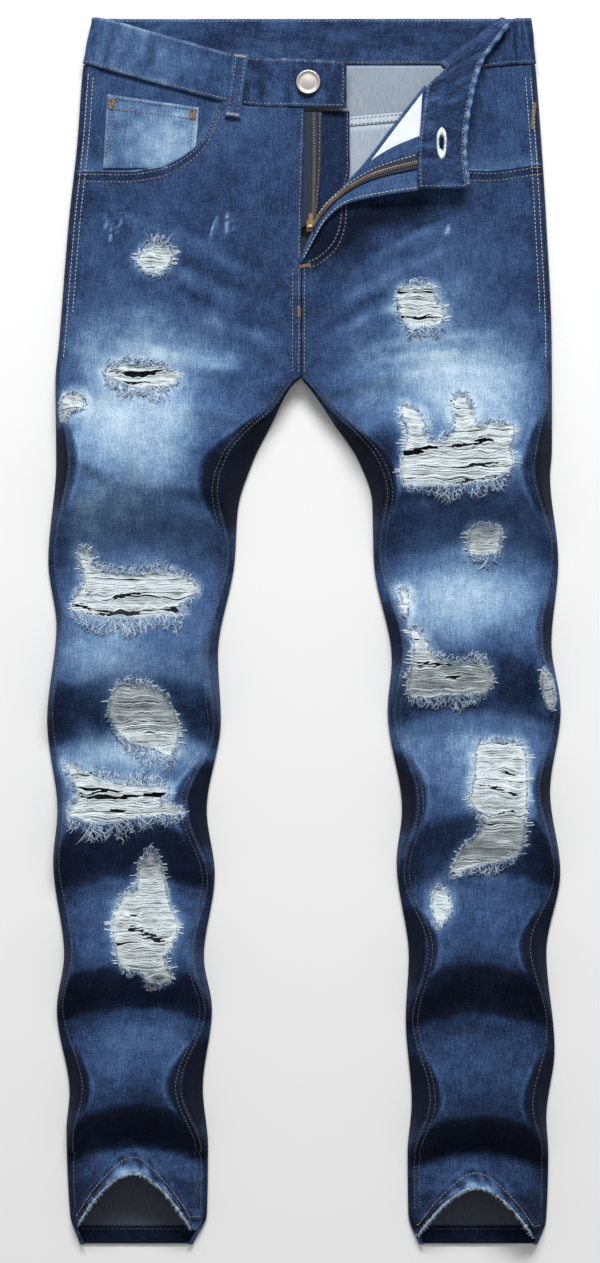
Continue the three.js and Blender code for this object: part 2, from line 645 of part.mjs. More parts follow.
add('belt_loop_back_left', bar([112, 503], [112, 458], LOOP_WIDTH, LOOP, LOOP_UNDER_Z), denim);
add('belt_loop_front_left', bar([140, 420], [92, 418], LOOP_WIDTH, LOOP, STRIP_Z + 0.5), denim);
add('back_pocket_right', backPocket(-96), darkDenim);
add('back_pocket_left', backPocket(94), darkDenim);

export default jeans;
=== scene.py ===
"""Looks of the ripped jeans: cloth, rips, seams, stitching and open fly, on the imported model's frame."""

import math

import bpy
import numpy as np
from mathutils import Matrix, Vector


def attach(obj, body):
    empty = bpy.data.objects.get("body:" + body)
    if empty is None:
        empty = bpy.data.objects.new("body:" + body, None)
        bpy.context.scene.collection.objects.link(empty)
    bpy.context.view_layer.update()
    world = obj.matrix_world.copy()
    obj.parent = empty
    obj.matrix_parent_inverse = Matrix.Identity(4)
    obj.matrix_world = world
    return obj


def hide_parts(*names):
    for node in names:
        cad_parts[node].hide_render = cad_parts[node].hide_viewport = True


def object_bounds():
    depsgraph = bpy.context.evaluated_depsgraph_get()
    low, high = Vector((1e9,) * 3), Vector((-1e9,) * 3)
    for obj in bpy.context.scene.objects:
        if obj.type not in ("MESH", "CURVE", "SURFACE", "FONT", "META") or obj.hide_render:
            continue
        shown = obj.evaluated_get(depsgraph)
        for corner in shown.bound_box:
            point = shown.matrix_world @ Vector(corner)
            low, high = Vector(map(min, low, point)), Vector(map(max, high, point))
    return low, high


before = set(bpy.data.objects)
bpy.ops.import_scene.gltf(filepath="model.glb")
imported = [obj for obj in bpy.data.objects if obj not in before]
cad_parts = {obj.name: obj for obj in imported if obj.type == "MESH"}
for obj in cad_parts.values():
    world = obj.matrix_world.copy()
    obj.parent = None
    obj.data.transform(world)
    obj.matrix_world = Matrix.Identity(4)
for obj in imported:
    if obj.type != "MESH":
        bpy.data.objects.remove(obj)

# ---------------------------------------------------------------- the frame and its driving dimensions
# Lengths below are in the frame's millimetres: MM turns them into metres by the CAD model's own length.

CAD_LOW, CAD_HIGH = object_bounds()
LENGTH = 1009.0
MM = (CAD_HIGH.y - CAD_LOW.y) / LENGTH

# Thickness of one layer of denim, of the front's folded hem and of the waistband, and the band's width.
DENIM = 1.2
HEM_THICK = 2.6
BAND = 2.8
BAND_WIDTH = 38.0

# Height of the front over the hips, between two cross folds and at its edges.
HIP_HEIGHT = 12.0
TROUGH = 5.0
EDGE = 2.4

# Width of a leg's rounded edge, and how far a cross fold bows at the sides.
ROUND = 7.0
BOW = 13.0

# A seam lies this share of the way up its wall, at most this far in, with a gap between its edges.
SEAM_ON_WALL = 0.45
SEAM_REACH = 20.0
SEAM_GAP = 0.15

# Room under the back for its stitches and for its pockets.
UNDER_THREADS = 0.3
POCKET_LIFT = 1.6

# Levels of the body along y, its centre line and the depth of its hems.
WAIST_Y = LENGTH / 2
HEM_Y = -LENGTH / 2
BAND_Y = WAIST_Y - BAND_WIDTH
CROTCH_Y = 209.0
CENTRE_X = -2.0
FLY_FOOT_Y = 302.0
YOKE_SIDE_Y = 428.0
YOKE_CENTRE_Y = 412.0
HEM_BAND = 15.0

# The side walls of a leg count as steep, and take painted shade, from the first width on, and fully from the
# second.
WALL_WIDTHS = (13, 22)

# The crease where the left front folds back, as (y, x), and the mouths of the front pockets, as (x, y).
FOLD_LINE = [(447, 100.5), (414, 74.5), (382, 50), (364, 33.6), (330, 9.8), (FLY_FOOT_Y, -2)]
RIGHT_SCOOP = [(-190, 378), (-150, 377), (-118, 381), (-97, 391), (-79, 409), (-68, 436)]
LEFT_SCOOP = [(197, 384), (150, 378), (117, 381), (96, 391), (79, 409), (72, 414)]


def lerp(a, b, t):
    """Between a and b, by the share t."""
    return a + (b - a) * t


def clamp01(value):
    """A value limited to the range from 0 to 1."""
    return np.clip(value, 0.0, 1.0)


def smooth(low, high, value):
    """Eased step from 0 at low to 1 at high."""
    t = clamp01((value - low) / (high - low))
    return t * t * (3 - 2 * t)


def along(points, place):
    """Smooth curve through (place, value) points, for an array of places. It never overshoots."""
    table = np.array(sorted(points), dtype=float)
    at, value = table[:, 0], table[:, 1]
    chord = np.diff(value) / np.diff(at)
    slope = np.empty_like(value)
    slope[0], slope[-1] = chord[0], chord[-1]
    same_way = chord[:-1] * chord[1:] > 0
    total = np.where(same_way, chord[:-1] + chord[1:], 1.0)
    slope[1:-1] = np.where(same_way, 2 * chord[:-1] * chord[1:] / total, 0.0)
    place = np.clip(place, at[0], at[-1])
    i = np.clip(np.searchsorted(at, place, side="right") - 1, 0, len(at) - 2)
    span = at[i + 1] - at[i]
    t = (place - at[i]) / span
    ease = t * t * (3 - 2 * t)
    bend = slope[i] * t * (1 - t) ** 2 - slope[i + 1] * t * t * (1 - t)
    return value[i] + ease * (value[i + 1] - value[i]) + span * bend


def noise(x, y, size, seed):
    """Smooth seeded noise from -1 to 1 over x and y, with features of the given size."""
    table = np.random.default_rng(seed).uniform(-1, 1, (128, 128))
    u, v = np.broadcast_arrays(np.asarray(x) / size, np.asarray(y) / size)
    i, j = np.floor(u).astype(int), np.floor(v).astype(int)
    s, t = smooth(0, 1, u - i), smooth(0, 1, v - j)
    low = lerp(table[i % 128, j % 128], table[(i + 1) % 128, j % 128], s)
    high = lerp(table[i % 128, (j + 1) % 128], table[(i + 1) % 128, (j + 1) % 128], s)
    return lerp(low, high, t)


def below_crotch(y):
    """0 above the crotch, easing to 1 below it."""
    return 1 - smooth(CROTCH_Y - 45, CROTCH_Y, y)


def lift(y):
    """The back is raised a little over its pockets."""
    return POCKET_LIFT * smooth(150, 190, y)


def wall_rise(t):
    """Rounded rise of a side wall over its width, from 0 to 1."""
    return 1 - (1 - clamp01(t)) ** 2.2


# ---------------------------------------------------------------- the two legs


class Leg:
    """One leg of the jeans: its outline, its cross folds and the height of its front layer."""

    def __init__(self, outward, outer, inner, front, crests, hem, seed):
        """crests holds one (top, foot, height, outer wall, inner wall) for each cross fold."""
        self.outward, self.outer, self.inner, self.front = outward, outer, inner, front
        self.crests, self.hem, self.seed = crests, hem, seed
        self.heights = [(WAIST_Y, HIP_HEIGHT), (CROTCH_Y + 20, HIP_HEIGHT)]
        self.outer_walls = [(CROTCH_Y - 20, ROUND)]
        self.inner_walls = [(CROTCH_Y - 20, ROUND)]
        for top, foot, height, outer_wall, inner_wall in crests:
            self.heights += [(top, height), (foot, TROUGH)]
            self.outer_walls += [(top + 14, outer_wall), (foot, ROUND)]
            self.inner_walls += [(top + 14, inner_wall), (foot, ROUND)]
        self.heights.append((hem["peak_y"], hem["height"]))
        self.outer_walls.append((hem["peak_y"], hem["outer_wall"]))
        self.inner_walls.append((hem["peak_y"], hem["inner_wall"]))

    def outer_x(self, y):
        """X of the outer edge."""
        return along(self.outer, y)

    def inner_x(self, y, layer):
        """X of a layer's inner edge: the inner leg, and its centre edge above the crotch."""
        above = along(self.front, y) if layer == "front" else CENTRE_X
        return np.where(np.asarray(y) <= CROTCH_Y, along(self.inner, y), above)

    def seams(self, y, layer):
        """X of the side seam and of the inner seam, a little way up the walls."""
        reach = lerp(SEAM_REACH, 3.0, smooth(-385, -440, y))
        outer_up = np.minimum(SEAM_ON_WALL * along(self.outer_walls, y), reach)
        inner_up = np.minimum(SEAM_ON_WALL * along(self.inner_walls, y), reach)
        inner_up = np.maximum(below_crotch(y) * inner_up, 0.2)
        outer = self.outer_x(y) - self.outward * outer_up
        return outer, self.inner_x(y, layer) + self.outward * inner_up

    def across(self, x, y):
        """Share of the way from the outer to the inner edge."""
        outer = self.outer_x(y)
        return clamp01((x - outer) / (self.inner_x(y, "front") - outer))

    def smooth_height(self, x, y):
        """Middle of the front layer, with its large folds only."""
        outer, inner = self.outer_x(y), self.inner_x(y, "front")
        bow = BOW * (2 * self.across(x, y) - 1) ** 2 * below_crotch(y)
        crest = along(self.heights, y + bow)
        outer_rise = wall_rise(np.abs(x - outer) / along(self.outer_walls, y))
        inner_rise = wall_rise(np.abs(inner - x) / along(self.inner_walls, y))
        edge = EDGE + lift(y)
        return edge + (crest - edge) * outer_rise * lerp(1, inner_rise, below_crotch(y))

    def height(self, x, y):
        """Middle of the front layer with its folds, creases and small crumples."""
        margin = np.minimum(np.abs(x - self.outer_x(y)), np.abs(self.inner_x(y, "front") - x))
        free = smooth(0, 14, margin)
        low = along(self.heights, y)
        room = 0.35 + 0.65 * smooth(300, 220, y)
        crumple = 1.5 * noise(x, y * 0.75, 34, self.seed) + 0.95 * noise(x, y, 15, self.seed + 1)
        crumple += 0.35 * noise(x, y, 6.5, self.seed + 2)
        crumple = np.maximum(crumple, -0.45 * (low - 1.5))
        return self.smooth_height(x, y) + free * room * crumple + self.creases(x, y) * free

    def creases(self, x, y):
        """Sharp small folds that run from the walls into the front, as (x1, y1, x2, y2, width, height)."""
        total = np.zeros(np.broadcast(x, y).shape)
        for x1, y1, x2, y2, width, height in CREASES[self.outward]:
            dx, dy = x2 - x1, y2 - y1
            length = math.hypot(dx, dy)
            t = ((x - x1) * dx + (y - y1) * dy) / length**2
            away = ((x - x1) * dy - (y - y1) * dx) / length
            taper = smooth(-0.15, 0.25, t) * smooth(1.15, 0.6, t)
            total = total + height * taper * np.exp(-((away / width) ** 2))
        return total


# Creases by side: -1 is the wearer's right leg, 1 the left one.
CREASES = {
    -1: [
        (-12, 215, -75, 268, 9, 3.0), (-14, 200, -95, 222, 8, 3.5), (-30, 170, -110, 185, 8, 3.0),
        (-200, 150, -150, 122, 6, 3.0), (-60, 96, -110, 112, 7, -3.0), (-205, 20, -150, -8, 6, 2.6),
        (-75, -5, -120, -22, 6, 2.6), (-205, -118, -160, -140, 6, 2.4), (-84, -122, -130, -146, 6, 2.6),
        (-195, -232, -150, -255, 6, 2.4), (-84, -236, -125, -262, 6, 2.4), (-192, -345, -150, -372, 6, 2.6),
        (-84, -340, -130, -368, 6, 2.6), (-190, -405, -150, -384, 5, 2.2), (-180, 60, -110, 52, 7, 1.6),
        (-185, -82, -100, -92, 6, 1.5), (-180, -205, -110, -212, 6, 1.4), (-180, -310, -110, -318, 6, 1.4),
    ],
    1: [
        (8, 212, 70, 262, 9, 3.0), (10, 196, 85, 215, 8, 3.5), (36, 160, 100, 176, 8, 3.0),
        (200, 152, 150, 124, 6, 3.0), (58, 98, 110, 112, 7, -2.6), (203, 30, 155, 4, 6, 2.6),
        (75, 20, 120, -4, 6, 2.6), (203, -108, 155, -136, 6, 2.4), (84, -112, 130, -138, 6, 2.6),
        (200, -228, 155, -254, 6, 2.4), (88, -232, 130, -258, 6, 2.4), (204, -352, 155, -380, 6, 2.6),
        (88, -350, 130, -378, 6, 2.6), (110, 58, 180, 66, 7, 1.6), (100, -72, 185, -80, 6, 1.5),
        (100, -202, 185, -210, 6, 1.4), (105, -318, 180, -326, 6, 1.4),
    ],
}

RIGHT = Leg(
    outward=-1,
    outer=[(504, -173), (466, -181), (402, -186), (337, -193), (238, -201), (205, -204), (139, -203.5),
           (58, -210), (5, -203.3), (-73, -211), (-147, -202.5), (-190, -206), (-266, -197), (-311, -203),
           (-380, -192.5), (-410, -195), (-480, -192), (-504, -184)],
    inner=[(CROTCH_Y, -3), (203, -10), (172, -26.5), (140, -42.6), (100, -55), (58, -57.6), (-20, -71.4),
           (-73, -69), (-147, -80.6), (-200, -74), (-268, -83), (-311, -76.3), (-376, -83.8),
           (-425, -79.5), (-480, -80.4), (-504, -92)],
    front=[(466, 1.5), (429, 0.8), (FLY_FOOT_Y, -2), (CROTCH_Y, -2)],
    crests=[(125, 58, 34, 23, 46), (-31, -87, 30, 10, 15), (-151, -207, 30, 12, 32),
            (-268, -313, 28, 13, 15), (-384, -426, 27, 22, 34)],
    hem={"peak_x": -140, "peak_y": -442, "side_y": -491, "height": 30, "outer_wall": 42, "inner_wall": 60},
    seed=11,
)
LEFT = Leg(
    outward=1,
    outer=[(504, 186), (466, 190), (402, 195), (337, 199), (238, 203.4), (150, 203.8), (128, 202.3),
           (58, 209), (-10, 203.4), (-65, 211), (-132, 202.3), (-198, 210.7), (-264, 199.2), (-344, 206),
           (-400, 199.2), (-430, 200.8), (-485, 199), (-504, 192)],
    inner=[(CROTCH_Y, -3), (203, 3), (172, 24.6), (140, 46), (107, 56.8), (58, 58.2), (-24, 73),
           (-65, 69.6), (-147, 81.4), (-190, 77), (-268, 87), (-319, 84.5), (-388, 89.4), (-430, 86),
           (-480, 86.6), (-504, 95)],
    front=[*FOLD_LINE, (CROTCH_Y, -2)],
    crests=[(122, 64, 34, 30, 28), (-12, -71, 30, 18, 19), (-143, -205, 31, 19, 24),
            (-268, -319, 28, 28, 28), (-394, -430, 27, 26, 27)],
    hem={"peak_x": 141, "peak_y": -454, "side_y": -498, "height": 28, "outer_wall": 42, "inner_wall": 52},
    seed=41,
)


def smooth_loop(points, steps=6):
    """A closed Catmull-Rom curve through the points."""
    p = np.array(points, dtype=float)
    t = np.arange(steps)[:, None] / steps
    before, after, last = np.roll(p, 1, axis=0), np.roll(p, -1, axis=0), np.roll(p, -2, axis=0)
    parts = []
    for a, b, c, d in zip(before, p, after, last):
        bend = (2 * a - 5 * b + 4 * c - d) * t**2 + (3 * b - a - 3 * c + d) * t**3
        parts.append(0.5 * (2 * b + (c - a) * t + bend))
    return np.concatenate(parts)


def hole(above, below, outline, slits=()):
    """One hole, with how far the frayed warp reaches above and below it."""
    return {"above": above, "below": below, "loop": smooth_loop(outline), "slits": slits}


# Rips of each leg. An outline is a closed smooth curve round the hole. Slits, where the threads are
# gone, are (x, y, width, height, rise to the right).
RIPS = {
    RIGHT: [
        hole(11, 4, [(-136, 307), (-126, 316), (-108, 314), (-110, 302), (-120, 295), (-132, 297)]),
        hole(10, 15, [(-164, 213), (-146, 219), (-120, 217), (-102, 209), (-116, 200), (-140, 201)],
            [(-134, 212, 50, 6, 0), (-140, 204, 30, 3, 0)]),
        hole(3, 3, [(-199, 190), (-190, 196), (-181, 192), (-180, 183), (-190, 181), (-198, 172)]),
        hole(12, 22, [(-186, 66), (-175, 63), (-171, 52), (-139, 47), (-117, 49), (-92, 42), (-89, 33),
             (-102, 22), (-103, 14), (-145, 11), (-167, 12), (-187, 17), (-190, 25), (-181, 41)],
            [(-172, 19, 24, 5, -4), (-127, 17, 48, 7, 2), (-143, 29, 22, 3, 3), (-176, 32, 10, 3, 0)]),
        hole(9, 20, [(-150, -44), (-125, -46), (-113, -55), (-103, -75), (-104, -90), (-111, -103),
             (-122, -97), (-145, -89), (-160, -69), (-156, -51)],
            [(-125, -84, 16, 2, 0), (-134, -66, 10, 2, 0)]),
        hole(12, 20, [(-196, -109), (-181, -116), (-158, -123), (-139, -125), (-120, -127), (-110, -131),
             (-117, -138), (-98, -147), (-114, -150), (-139, -152), (-167, -156), (-186, -152),
             (-192, -148), (-184, -134), (-191, -120)],
            [(-173, -132, 26, 5, 2), (-137, -134, 44, 5, 2), (-152, -147, 18, 3, 0)]),
        hole(9, 9, [(-126, -182), (-118, -190), (-113, -209), (-110, -225), (-103, -241), (-108, -258),
             (-114, -266), (-108, -283), (-126, -287), (-134, -277), (-147, -274), (-154, -258),
             (-157, -237), (-150, -221), (-138, -211), (-136, -195)],
            [(-130, -247, 20, 7, -7), (-140, -232, 10, 3, 0)]),
    ],
    LEFT: [
        hole(6, 14, [(78, 281), (103, 284), (108, 273), (115, 263), (111, 253), (89, 249), (81, 258),
             (77, 268)],
            [(94, 258, 22, 2, -1)]),
        hole(9, 19, [(79, 184), (88, 182), (97, 174), (99, 158), (111, 155), (122, 164), (122, 187),
             (130, 192), (137, 185), (142, 168), (156, 169), (172, 167), (168, 150), (170, 137), (156, 124),
             (131, 120), (109, 119), (82, 120), (79, 140), (84, 162)],
            [(116, 150, 58, 6, 7), (146, 124, 34, 7, 5), (140, 136, 24, 2, 3)]),
        hole(4, 15, [(136, 83), (146, 86), (161, 85), (162, 76), (159, 66), (147, 64), (136, 65)]),
        hole(4, 3, [(78, 36), (85, 34), (87, 24), (84, 13), (80, 16), (80, 27)]),
        hole(9, 15, [(86, 1), (94, -1), (103, -15), (111, -23), (126, -26), (146, -25), (154, -37),
             (148, -50), (121, -52), (89, -54), (85, -42), (88, -25), (89, -10)],
            [(104, -26, 20, 3, -2), (122, -38, 16, 2, 0)]),
        hole(3, 4, [(195, -30), (202, -38), (206, -52), (204, -64), (198, -58), (194, -42)]),
        hole(7, 12, [(143, -94), (162, -91), (180, -95), (183, -122), (181, -151), (177, -180), (161, -188),
             (136, -195), (121, -200), (128, -181), (140, -168), (146, -151), (136, -139), (139, -118)],
            [(160, -130, 22, 3, -6), (158, -148, 20, 3, 4), (166, -116, 14, 2, 0)]),
        hole(7, 5, [(108, -212), (118, -215), (120, -225), (116, -236), (109, -239), (105, -225)]),
    ],
}


def inside_loop(loop, x, y):
    """Distance in from a closed loop, positive inside, in millimetres. Far points give -60."""
    low, high = loop.min(axis=0) - 40, loop.max(axis=0) + 40
    near = (x > low[0]) & (x < high[0]) & (y > low[1]) & (y < high[1])
    px, py = x[near][:, None], y[near][:, None]
    ax, ay = loop[:, 0][None], loop[:, 1][None]
    bx, by = np.roll(loop[:, 0], -1)[None], np.roll(loop[:, 1], -1)[None]
    dx, dy = bx - ax, by - ay
    t = clamp01(((px - ax) * dx + (py - ay) * dy) / (dx * dx + dy * dy + 1e-9))
    distance = np.hypot(px - ax - t * dx, py - ay - t * dy).min(axis=1)
    crossing = ((ay > py) != (by > py)) & (px < ax + (py - ay) * dx / (dy + np.where(dy == 0, 1e-9, 0)))
    within = crossing.sum(axis=1) % 2 == 1
    result = np.full(x.shape, -60.0)
    result[near] = np.where(within, distance, -distance)
    return result


# ---------------------------------------------------------------- wash of the denim, with painted shade and highlights

# Faded places and painted shade as (x, y, reach across, reach along, strength), by side; a negative strength
# darkens.
# The dark ones at (24, 322) and (70, 340) are painted shadow under the flap's edge; those at (-77, 130) and
# (66, 140) are painted shade in the fold at the inner thigh.
FADES_AND_SHADES = {
    -1: [(-146, 160, 58, 50, 0.50), (-132, 230, 76, 34, 0.40), (-172, -18, 40, 26, 0.16),
         (-135, -34, 62, 24, 0.14), (-135, 35, 72, 44, 0.16), (-138, -98, 62, 18, 0.42),
         (-130, 90, 74, 26, 0.12), (-75, 262, 60, 46, -0.09), (-126, 350, 60, 36, -0.05),
         (-77, 130, 13, 27, -0.34), (-196, -130, 18, 22, 0.14), (-140, -425, 60, 14, 0.07),
         (-138, -138, 62, 28, 0.12), (-110, 300, 52, 44, 0.06), (-132, -236, 30, 56, 0.10),
         (-128, -345, 44, 26, 0.13), (-85, 425, 60, 22, 0.04), (-170, 102, 26, 30, 0.14)],
    1: [(130, 84, 70, 24, 0.13), (66, 140, 12, 23, -0.34), (124, 204, 70, 46, 0.53),
        (98, 262, 40, 34, 0.14), (128, 26, 66, 36, 0.50), (140, -88, 66, 26, 0.20),
        (120, -40, 46, 30, 0.11), (152, -150, 34, 56, 0.16), (104, -182, 30, 26, 0.07),
        (112, 320, 50, 40, 0.06), (24, 322, 26, 20, -0.30), (70, 340, 40, 12, -0.22),
        (114, -224, 20, 30, 0.10), (140, -345, 40, 22, 0.03)],
}

# Whiskers, pale or dark crease marks, and painted shadow strokes, as (x1, y1, x2, y2, width, strength), by
# side.
# On the left, the two wide dark strokes from (2, 296) and from (36, 334) are painted shadow along the flap's
# lower edge.
WHISKERS_AND_SHADOWS = {
    -1: [(-20, 238, -110, 276, 5, 0.20), (-22, 262, -140, 318, 5, 0.16), (-30, 288, -128, 350, 4, 0.14),
         (-40, 225, -160, 240, 5, 0.18), (-60, 312, -170, 356, 4, 0.12), (-26, 250, -120, 297, 3, -0.12),
         (-36, 276, -134, 334, 3, -0.10), (-30, 218, -140, 232, 4, 0.16)],
    1: [(16, 238, 104, 272, 5, 0.20), (20, 262, 130, 316, 5, 0.16), (34, 288, 140, 344, 4, 0.14),
        (40, 226, 165, 244, 5, 0.20), (22, 250, 116, 292, 3, -0.12), (40, 300, 150, 352, 3, -0.10),
        (2, 296, 44, 334, 9, -0.30), (36, 334, 112, 349, 9, -0.28), (30, 214, 150, 226, 4, 0.16),
        (60, 205, 180, 212, 4, 0.12)],
}


# Short upright scratches as (x, y, half length), by side.
SCRATCHES = {
    -1: [(-163, 334, 11), (-159, 328, 12), (-154, 331, 10), (-150, 338, 7), (-75, 330, 10), (-71, 334, 9),
         (-63, 332, 14), (-59, 334, 13)],
    1: [(78, 322, 5), (118, 329, 6)],
}


def hem_y(leg, x):
    """Lower edge of the front panel: an arch, lifted in its middle."""
    reach = clamp01(np.abs(x - leg.hem["peak_x"]) / 47)
    return lerp(leg.hem["peak_y"], leg.hem["side_y"], reach**1.8)


def wash_and_shade(leg, x, y):
    """How far the indigo is washed out, from 0 to 1, lowered by painted shade and raised by painted
    highlights.
    """
    level = 0.345 + 0.05 * noise(x, y, 60, 5) + 0.05 * noise(x, y, 22, 6)
    level = level - 0.10 * smooth(-170, -400, y) - (0.035 if leg.outward > 0 else 0) * smooth(-160, -240, y)
    level = level - 0.08 * smooth(26, 4, np.abs(x - leg.outer_x(y)))
    for cx, cy, rx, ry, strength in FADES_AND_SHADES[leg.outward]:
        distance = ((x - cx) / rx) ** 2 + ((y - cy) / ry) ** 2
        ragged = 1 + 0.35 * noise(x, y, 26, 7) + 0.2 * noise(x, y, 9, 8)
        level = level + strength * np.exp(-distance * ragged)
    for x1, y1, x2, y2, width, strength in WHISKERS_AND_SHADOWS[leg.outward]:
        dx, dy = x2 - x1, y2 - y1
        length = math.hypot(dx, dy)
        t = ((x - x1) * dx + (y - y1) * dy) / length**2
        bend = 6 * np.sin(np.pi * clamp01(t))
        away = ((x - x1) * dy - (y - y1) * dx) / length + bend
        stroke = smooth(-0.1, 0.3, t) * smooth(1.1, 0.6, t) * np.exp(-((away / width) ** 2))
        level = level + strength * stroke * (0.7 + 0.5 * noise(x, y, 12, 9))
    for rip in RIPS[leg]:
        depth = inside_loop(rip["loop"], x, y)
        halo = 0.20 * smooth(-10, -1, depth) * (1 + 0.6 * noise(x, y, 5, 10))
        level = level + halo + 0.45 * smooth(-2.2, 0.5, depth)
    for sx, sy, reach in SCRATCHES[leg.outward]:
        ragged = smooth(-0.2, 0.5, noise(x * 3, y, 2.5, 13) + 0.2)
        near = np.exp(-((x - sx) / 1.2) ** 2) * smooth(reach, reach * 0.6, np.abs(y - sy))
        level = level + 0.46 * ragged * near
    # Painted shade on the steep side walls, for the shade they lie in, and a painted highlight along the
    # crease where each wall turns onto the top.
    sides = ((leg.outer_x(y), leg.outer_walls, 1),
             (leg.inner_x(y, "front"), leg.inner_walls, below_crotch(y)))
    for edge_x, walls, part in sides:
        wide = along(walls, y)
        share = np.abs(x - edge_x) / wide
        steep = part * smooth(*WALL_WIDTHS, wide) * smooth(-440, -405, y)
        level = level - 0.24 * steep * smooth(0.88, 0.74, share)
        level = level + 0.10 * steep * np.exp(-(((share - 0.93) * wide / 1.8) ** 2))
    # Painted shade on the slopes below each crest, which face away from the light, and a painted highlight on
    # the slopes that face it.
    slope = (leg.smooth_height(x, y + 2) - leg.smooth_height(x, y - 2)) / 4
    slope = slope + 0.09 * noise(x, y, 13, 16) + 0.05 * noise(x, y, 5, 20)
    away = smooth(0.04, 0.36, slope) * below_crotch(y)
    level = level - away * lerp(0.04, 0.20, smooth(60, -150, y)) + 0.05 * smooth(0.05, 0.4, -slope)
    below = along(RIGHT_SCOOP if leg.outward < 0 else LEFT_SCOOP, x) - y
    hip = smooth(76, 84, np.abs(x)) * smooth(9.5, 8, below) * smooth(0, 1.5, below)
    level = level - 0.09 * hip
    from_hem = y - hem_y(leg, x)
    worn = smooth(7.5, 1.5, from_hem + 2.5 * noise(x, y, 5, 15))
    level = level + 0.42 * worn + 0.10 * np.exp(-(((from_hem - HEM_BAND) / 1.6) ** 2))
    roping = np.sin((x + 0.8 * from_hem) * 0.55 + 2 * noise(x, y, 14, 14))
    level = level + 0.10 * roping * smooth(HEM_BAND, HEM_BAND - 3, from_hem)
    return clamp01(level)


# ---------------------------------------------------------------- meshes


def new_piece(name, vertices, faces, materials, shade_smooth=True):
    """A mesh piece that rides on the jeans. Vertices are in the frame's millimetres."""
    mesh = bpy.data.meshes.new(name)
    mesh.from_pydata([tuple(v) for v in np.asarray(vertices) * MM], [], faces)
    for material in materials:
        mesh.materials.append(material)
    mesh.polygons.foreach_set("use_smooth", [shade_smooth] * len(mesh.polygons))
    mesh.update()
    obj = bpy.data.objects.new(name, mesh)
    bpy.context.scene.collection.objects.link(obj)
    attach(obj, "jeans")
    return obj


def set_attribute(obj, name, values):
    """One number for each vertex, read by the materials."""
    layer = obj.data.attributes.new(name, "FLOAT", "POINT")
    layer.data.foreach_set("value", np.asarray(values, dtype=np.float32).ravel())


def set_cloth_map(obj, u, v):
    """UV map in metres of cloth: across and along the grain."""
    layer = obj.data.uv_layers.new(name="cloth")
    corner = np.empty(len(obj.data.loops), dtype=np.int32)
    obj.data.loops.foreach_get("vertex_index", corner)
    uv = np.stack([np.ravel(u)[corner], np.ravel(v)[corner]], axis=1) * MM
    layer.data.foreach_set("uv", uv.astype(np.float32).ravel())


# Each sewn cloth piece with its cut size and what it lies on.
CLOTH = []


def cut_size(points):
    """Width, length and area of a grid of points laid flat, in metres."""
    down = np.linalg.norm(np.diff(points, axis=0), axis=2).sum(axis=0).max()
    across = np.linalg.norm(np.diff(points, axis=1), axis=2).sum(axis=1).max()
    d1, d2 = points[1:, 1:] - points[:-1, :-1], points[1:, :-1] - points[:-1, 1:]
    area = 0.5 * np.linalg.norm(np.cross(d1, d2), axis=2).sum()
    return across * MM, down * MM, min(area, across * down) * MM * MM


def fan_size(points):
    """Width, length and area of a flat piece whose rows fan out: the rectangle it is cut from, in metres."""
    flat = points.reshape(-1, 3) - points.reshape(-1, 3).mean(axis=0)
    axes = np.linalg.svd(flat, full_matrices=False)[2]
    length, width, _ = np.ptp(flat @ axes.T, axis=0) * MM
    return width, length, cut_size(points)[2]


def note_cloth(obj, points, rests_on=(), fan=False):
    """Keeps a cloth piece and its cut in the list of cloth."""
    CLOTH.append((obj, (fan_size if fan else cut_size)(points), rests_on))


def grid_faces(rows, columns, keep=None, flip=False):
    """Quads of a grid of points, rows by columns; keep masks the quads."""
    index = np.arange(rows * columns).reshape(rows, columns)
    corners = [index[:-1, :-1], index[:-1, 1:], index[1:, 1:], index[1:, :-1]]
    if flip:
        corners.reverse()
    quads = np.stack([c.ravel() for c in corners], axis=1)
    if keep is not None:
        quads = quads[keep.ravel()]
    return quads


def drop_loose(points, quads):
    """Removes the points that no quad uses, and gives the kept points' numbers."""
    used = np.unique(quads)
    renumber = np.zeros(len(points), dtype=int)
    renumber[used] = np.arange(len(used))
    return points[used], renumber[quads], used


def thicken(obj, thickness, inner_material=1, group=None):
    """Gives a sheet its thickness, half to each side."""
    solid = obj.modifiers.new("thickness", "SOLIDIFY")
    solid.thickness = thickness * MM
    solid.offset = 0
    solid.use_quality_normals = True
    solid.material_offset = inner_material
    solid.material_offset_rim = 0
    if group is not None:
        weights = obj.vertex_groups.new(name="thickness")
        step = np.round(np.asarray(group) * 20).astype(int)
        for number in np.unique(step):
            weights.add(np.flatnonzero(step == number).tolist(), number / 20, "REPLACE")
        solid.vertex_group = weights.name
        solid.thickness_vertex_group = 0.0


